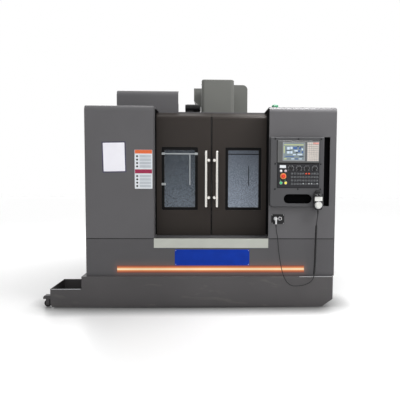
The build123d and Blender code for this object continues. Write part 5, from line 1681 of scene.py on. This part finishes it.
@dataclass(frozen=True)
class PendantDress:
    """Face plate, dial ticks, selector marks and cord sleeves of the pendant and its socket."""

    x: float = 1055.0
    face: float = -109.0
    dial: float = 1048.0
    plate_level: float = 1109.0
    plate_size: Pair = (74, 42)
    selector_level: float = 1141.0
    scale_radius: float = 13.0
    selectors: tuple[tuple[str, float], ...] = (("pendant_axis_knob", -17), ("pendant_step_knob", 17))
    wheel_ticks: int = 50
    ribs: int = 6

    def build(self) -> list[bpy.types.Object]:
        """Make the pieces.

        Returns:
            The two sleeves that sit on the cord.
        """
        place = (self.x, self.face, self.plate_level)
        plate = Form().plate(place, *self.plate_size, 1.0, radius=4, bevel=0.3)
        plate.build("pendant_face_plate", ROOT, DIAL_WHITE, "dial_white")
        marks = Form()
        for k in range(9):
            angle = -60 + k * 15
            rise, aside = polar(self.scale_radius, angle)
            for _, dx in self.selectors:
                place = (self.x + dx + aside, self.face, self.selector_level + rise)
                marks.plate(place, 1.2, 2.6, 0.4, radius=0.4, bevel=0.1, turn=-angle)
        marks.build("pendant_selector_scales", ROOT, MARK_WHITE, "dial_white")
        bezel = Form().tube_ring((self.x, self.face, self.dial), 31.5, 36.5, 1.2)
        bezel.build("pendant_bezel", ROOT, NICKEL, "plug_metal")
        self.build_wheel_ticks()
        for body, dx in self.selectors:
            place = (self.x + dx, self.face - 14, self.selector_level + 5)
            pointer = Form().plate(place, 1.8, 8, 0.4, radius=0.6, bevel=0.1)
            pointer.build(f"{body}_pointer", body, MARK_WHITE, "dial_white")
        return self.build_sleeves()

    def build_wheel_ticks(self) -> None:
        """Make the fine ticks on the wheel, every fifth one longer."""
        ticks = Form()
        for k in range(self.wheel_ticks):
            angle = k * 360 / self.wheel_ticks
            reach, length = (26.2, 2.6) if k % 5 else (25.2, 4.6)
            rise, aside = polar(reach, angle)
            place = (self.x + aside, self.face - 13, self.dial + rise)
            ticks.plate(place, 0.7, length, 0.3, radius=0.2, bevel=0.05, steps=2, turn=-angle)
        ticks.build("pendant_wheel_ticks", "pendant_wheel", KNOB, "knob_black")

    def build_sleeves(self) -> list[bpy.types.Object]:
        """Make the ribbed bend-relief sleeves at both ends of the cord, each rib slimmer than the last.

        Returns:
            The two sleeves.
        """
        sleeves = []
        ends = (("pendant_sleeve", (1055, -83, 984), 30), ("plug_sleeve", (645, -52, 853), 28))
        for name, place, length in ends:
            profile: list[Pair] = []
            for k in range(self.ribs):
                radius = 7.6 - 2.4 * k / self.ribs
                for slim, share in ((0.0, 0.0), (0.0, 0.6), (0.9, 0.7), (0.9, 0.95)):
                    profile.append((radius - slim, length * (k + share) / self.ribs))
            sleeve = Form().turned(place, profile, facing=Facing.DOWN, segments=20)
            sleeves.append(sleeve.build(name, ROOT, CABLE, "cord_black"))
        return sleeves


@dataclass(frozen=True)
class SocketDress:
    """Ring nuts, pins and screws of the socket plate."""

    rings: Pair = (645, 691)
    level: float = 904.0
    teeth: int = 16
    teeth_radius: float = 18.6
    screw_columns: Pair = (611, 726)
    screw_levels: Pair = (857, 939)
    pins: int = 6
    pins_radius: float = 6.0

    def build(self) -> None:
        """Make the pieces."""
        nuts = Form()
        for x in self.rings:
            nuts.tube_ring((x, -16, self.level), 12.6, 17.0, 1.0)
            for k in range(self.teeth):
                aside, rise = polar(self.teeth_radius, k * 360 / self.teeth)
                tooth = ((2.0, 0.0), (2.0, 6.0), (1.2, 6.6))
                nuts.turned((x + aside, -6, self.level + rise), tooth, segments=8)
        for x, z in product(self.screw_columns, self.screw_levels):
            nuts.turned((x, -4, z), ((3.8, 0.0), (3.6, 1.2), (2.2, 2.0), (0.4, 2.2)), segments=16)
        nuts.build("socket_nuts", ROOT, NICKEL, "plug_metal")
        pins = Form()
        for k in range(self.pins):
            aside, rise = polar(self.pins_radius, k * 360 / self.pins)
            place = (self.rings[1] + aside, -4, self.level + rise)
            pins.turned(place, ((1.1, 0.0), (1.1, 6.0), (0.4, 7.0)), segments=10)
        pins.build("socket_pins", ROOT, ZINC, "plug_metal")


@dataclass(frozen=True)
class LouvreField:
    """Field of pressed louvres on a flat panel."""

    name: str
    centre: Point
    rows: int
    facing: Facing
    body: str
    width: float = 220.0
    pitch: float = 26.0
    proud: float = 7.0
    sections: int = 18

    def build(self) -> None:
        """Make the louvres: one slanted section carried across, which swells from both ends."""
        form = Form()
        across, along, out = self.facing.axes
        for level in range(self.rows):
            rise = (level - (self.rows - 1) / 2) * self.pitch
            rings = []
            for share in np.linspace(0, 1, self.sections):
                swell = min(1.0, math.sin(math.pi * min(1, min(share, 1 - share) * 5) / 2) + 0.02)
                middle = np.array(self.centre) + across * (share - 0.5) * self.width + along * rise
                proud = out * self.proud * swell
                rings.append(np.array([
                    middle + along * 8, middle + along * 5 + proud * 0.45, middle - along * 5 + proud,
                    middle - along * 8 + proud * 0.92, middle - along * 8, middle - along * 4 - out * 0.2,
                ]))
            form.rings(rings)
        form.build(self.name, self.body, COVER, "cover_grey", smooth_angle=50)


@dataclass(frozen=True)
class ScrewRow:
    """Dome-headed screws with a socket, in a grid on a flat panel."""

    name: str
    xs: tuple[float, ...]
    ys: tuple[float, ...]
    zs: tuple[float, ...]
    facing: Facing
    body: str = ROOT
    radius: float = 6.0
    profile: tuple[Pair, ...] = ((1, 0.0), (1, 0.25), (0.86, 0.5), (0.42, 0.62), (0.34, 0.3), (0.08, 0.3))

    def build(self) -> None:
        """Make the screws; the profile is in shares of the radius."""
        form = Form()
        profile = [(self.radius * out, self.radius * height) for out, height in self.profile]
        for place in product(self.xs, self.ys, self.zs):
            form.turned(place, profile, facing=self.facing, segments=16)
        form.build(self.name, self.body, ZINC, "screw_steel")


@dataclass(frozen=True)
class TankDress:
    """Bright metal strips on the coolant tank's top edges as painted highlight, and a strainer on the tank.
    """

    tray: Pair = (-1447, 185)
    front: float = -30.0
    tank_edge: Point = (1058, -30, 317.2)
    tray_level: float = 193.0
    holes: Pair = (28, 60)

    def build(self) -> None:
        """Make the pieces that ride on the tank."""
        x, y = self.tray
        # Zinc strips on the top lips of the tank and tray: painted highlight of the lit lips.
        edges = Form().plate(self.tank_edge, 334, 3.6, 0.7, radius=1, bevel=0.2)
        edges.plate((x, self.front, self.tray_level), 288, 4.2, 0.9, radius=1, bevel=0.3)
        edges.build("tank_bright_edges", "tank", ZINC, "stainless")
        strainer = Form().plate((x, y, 52.0), 270, 380, 3.0, facing=Facing.UP, radius=6, bevel=1.0)
        eye = ((7, 0.0), (6.6, 1.0), (3.6, 1.2), (3.2, 0.4), (0.4, 0.4))
        for k, m in product(range(9), range(6)):
            place = (x + (k - 4) * self.holes[0], y + (m - 2.5) * self.holes[1], 55)
            strainer.turned(place, eye, facing=Facing.UP, segments=14)
        strainer.build("tray_strainer", "tank", SEAL, "panel_black")


@dataclass(frozen=True)
class RoofDress:
    """Screws and louvres on the tall covers, and the foot of the signal lamp."""

    head_sides: Pair = (-122, 252)
    head_rows: Pair = (790, 1340)
    head_levels: Point = (1700, 2040, 2380)
    louvres: Pair = (1090, 2230)
    column_side: float = 457.0
    column_rows: Point = (1470, 1745, 2020)
    column_levels: Point = (2100, 2270, 2400)
    lamp: Point = (648, 150, 2020)

    def build(self) -> None:
        """Make the pieces."""
        left, right = self.head_sides
        grid = (self.head_rows, self.head_levels)
        ScrewRow("head_cover_screws", (right,), *grid, Facing.RIGHT, "head").build()
        LouvreField("head_cover_louvres_right", (right, *self.louvres), 6, Facing.RIGHT, "head").build()
        LouvreField("head_cover_louvres_left", (left, *self.louvres), 6, Facing.LEFT, "head").build()
        ScrewRow("head_cover_screws_left", (left,), *grid, Facing.LEFT, "head").build()
        grid = (self.column_rows, self.column_levels)
        ScrewRow("column_cover_screws", (self.column_side,), *grid, Facing.RIGHT).build()
        lamp = Form().tube_ring(self.lamp, 36.7, 41.5, 6.0, facing=Facing.UP)
        lamp.build("signal_lamp_base", ROOT, SEAL, "panel_black")


@dataclass(frozen=True)
class BackDress:
    """Louvres, locks and panel screws at the back and on the left side."""

    door: str = "cabinet_door"
    door_back: float = 2418.0
    louvre_column: float = 65.0
    louvre_levels: Pair = (560, 1800)
    louvre_width: float = 420.0
    lock_column: float = -300.0
    lock_levels: Pair = (1000, 1560)
    hatch_side: float = -1262.0
    hatch_rows: Point = (700, 988, 1275)
    hatch_levels: Pair = (1130, 1640)
    rear: float = 1750.0
    rear_columns: tuple[float, ...] = (-1210, -900, -600, 520, 900, 1210)
    rear_levels: Point = (740, 1360, 1980)

    def build(self) -> None:
        """Make the pieces."""
        for word, level, rows in zip(("low", "high"), self.louvre_levels, (8, 6)):
            centre = (self.louvre_column, self.door_back, level)
            name = f"cabinet_louvres_{word}"
            LouvreField(name, centre, rows, Facing.BACK, self.door, self.louvre_width).build()
        locks = Form()
        profile = ((15, 0.0), (15, 2.0), (13, 4.0), (6, 4.6), (5.4, 2.4), (0.5, 2.4))
        for level in self.lock_levels:
            locks.turned((self.lock_column, self.door_back, level), profile, facing=Facing.BACK, segments=28)
        locks.build("cabinet_locks", self.door, NICKEL, "plug_metal")
        grid = (self.hatch_rows, self.hatch_levels)
        ScrewRow("left_hatch_screws", (self.hatch_side,), *grid, Facing.LEFT).build()
        ScrewRow("rear_panel_screws", self.rear_columns, (self.rear,), self.rear_levels, Facing.BACK).build()


@dataclass(frozen=True)
class MachiningCentre:
    """Whole dressed machine, built group by group."""

    frame: dict[str, Any]

    def build(self) -> None:
        """Build every group in order."""
        sleeves = PendantDress().build()
        PendantCord().build(self.frame, sleeves)
        FrameDress().build(self.frame)
        groups = (
            *(WindowDress(side) for side in Side), FrontSigns(), LightStripDress(), GuardSeams(),
            OperatorStation(), SocketDress(), TankDress(), RoofDress(), BackDress(),
        )
        for group in groups:
            group.build()
            LOG.info("%s is built", type(group).__name__)


def main() -> None:
    """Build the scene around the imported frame."""
    logging.basicConfig(level=logging.INFO, format="%(message)s")
    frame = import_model()
    PhotoCamera().build()
    Studio().build()
    MachiningCentre(frame).build()


if __name__ == "__main__":
    main()
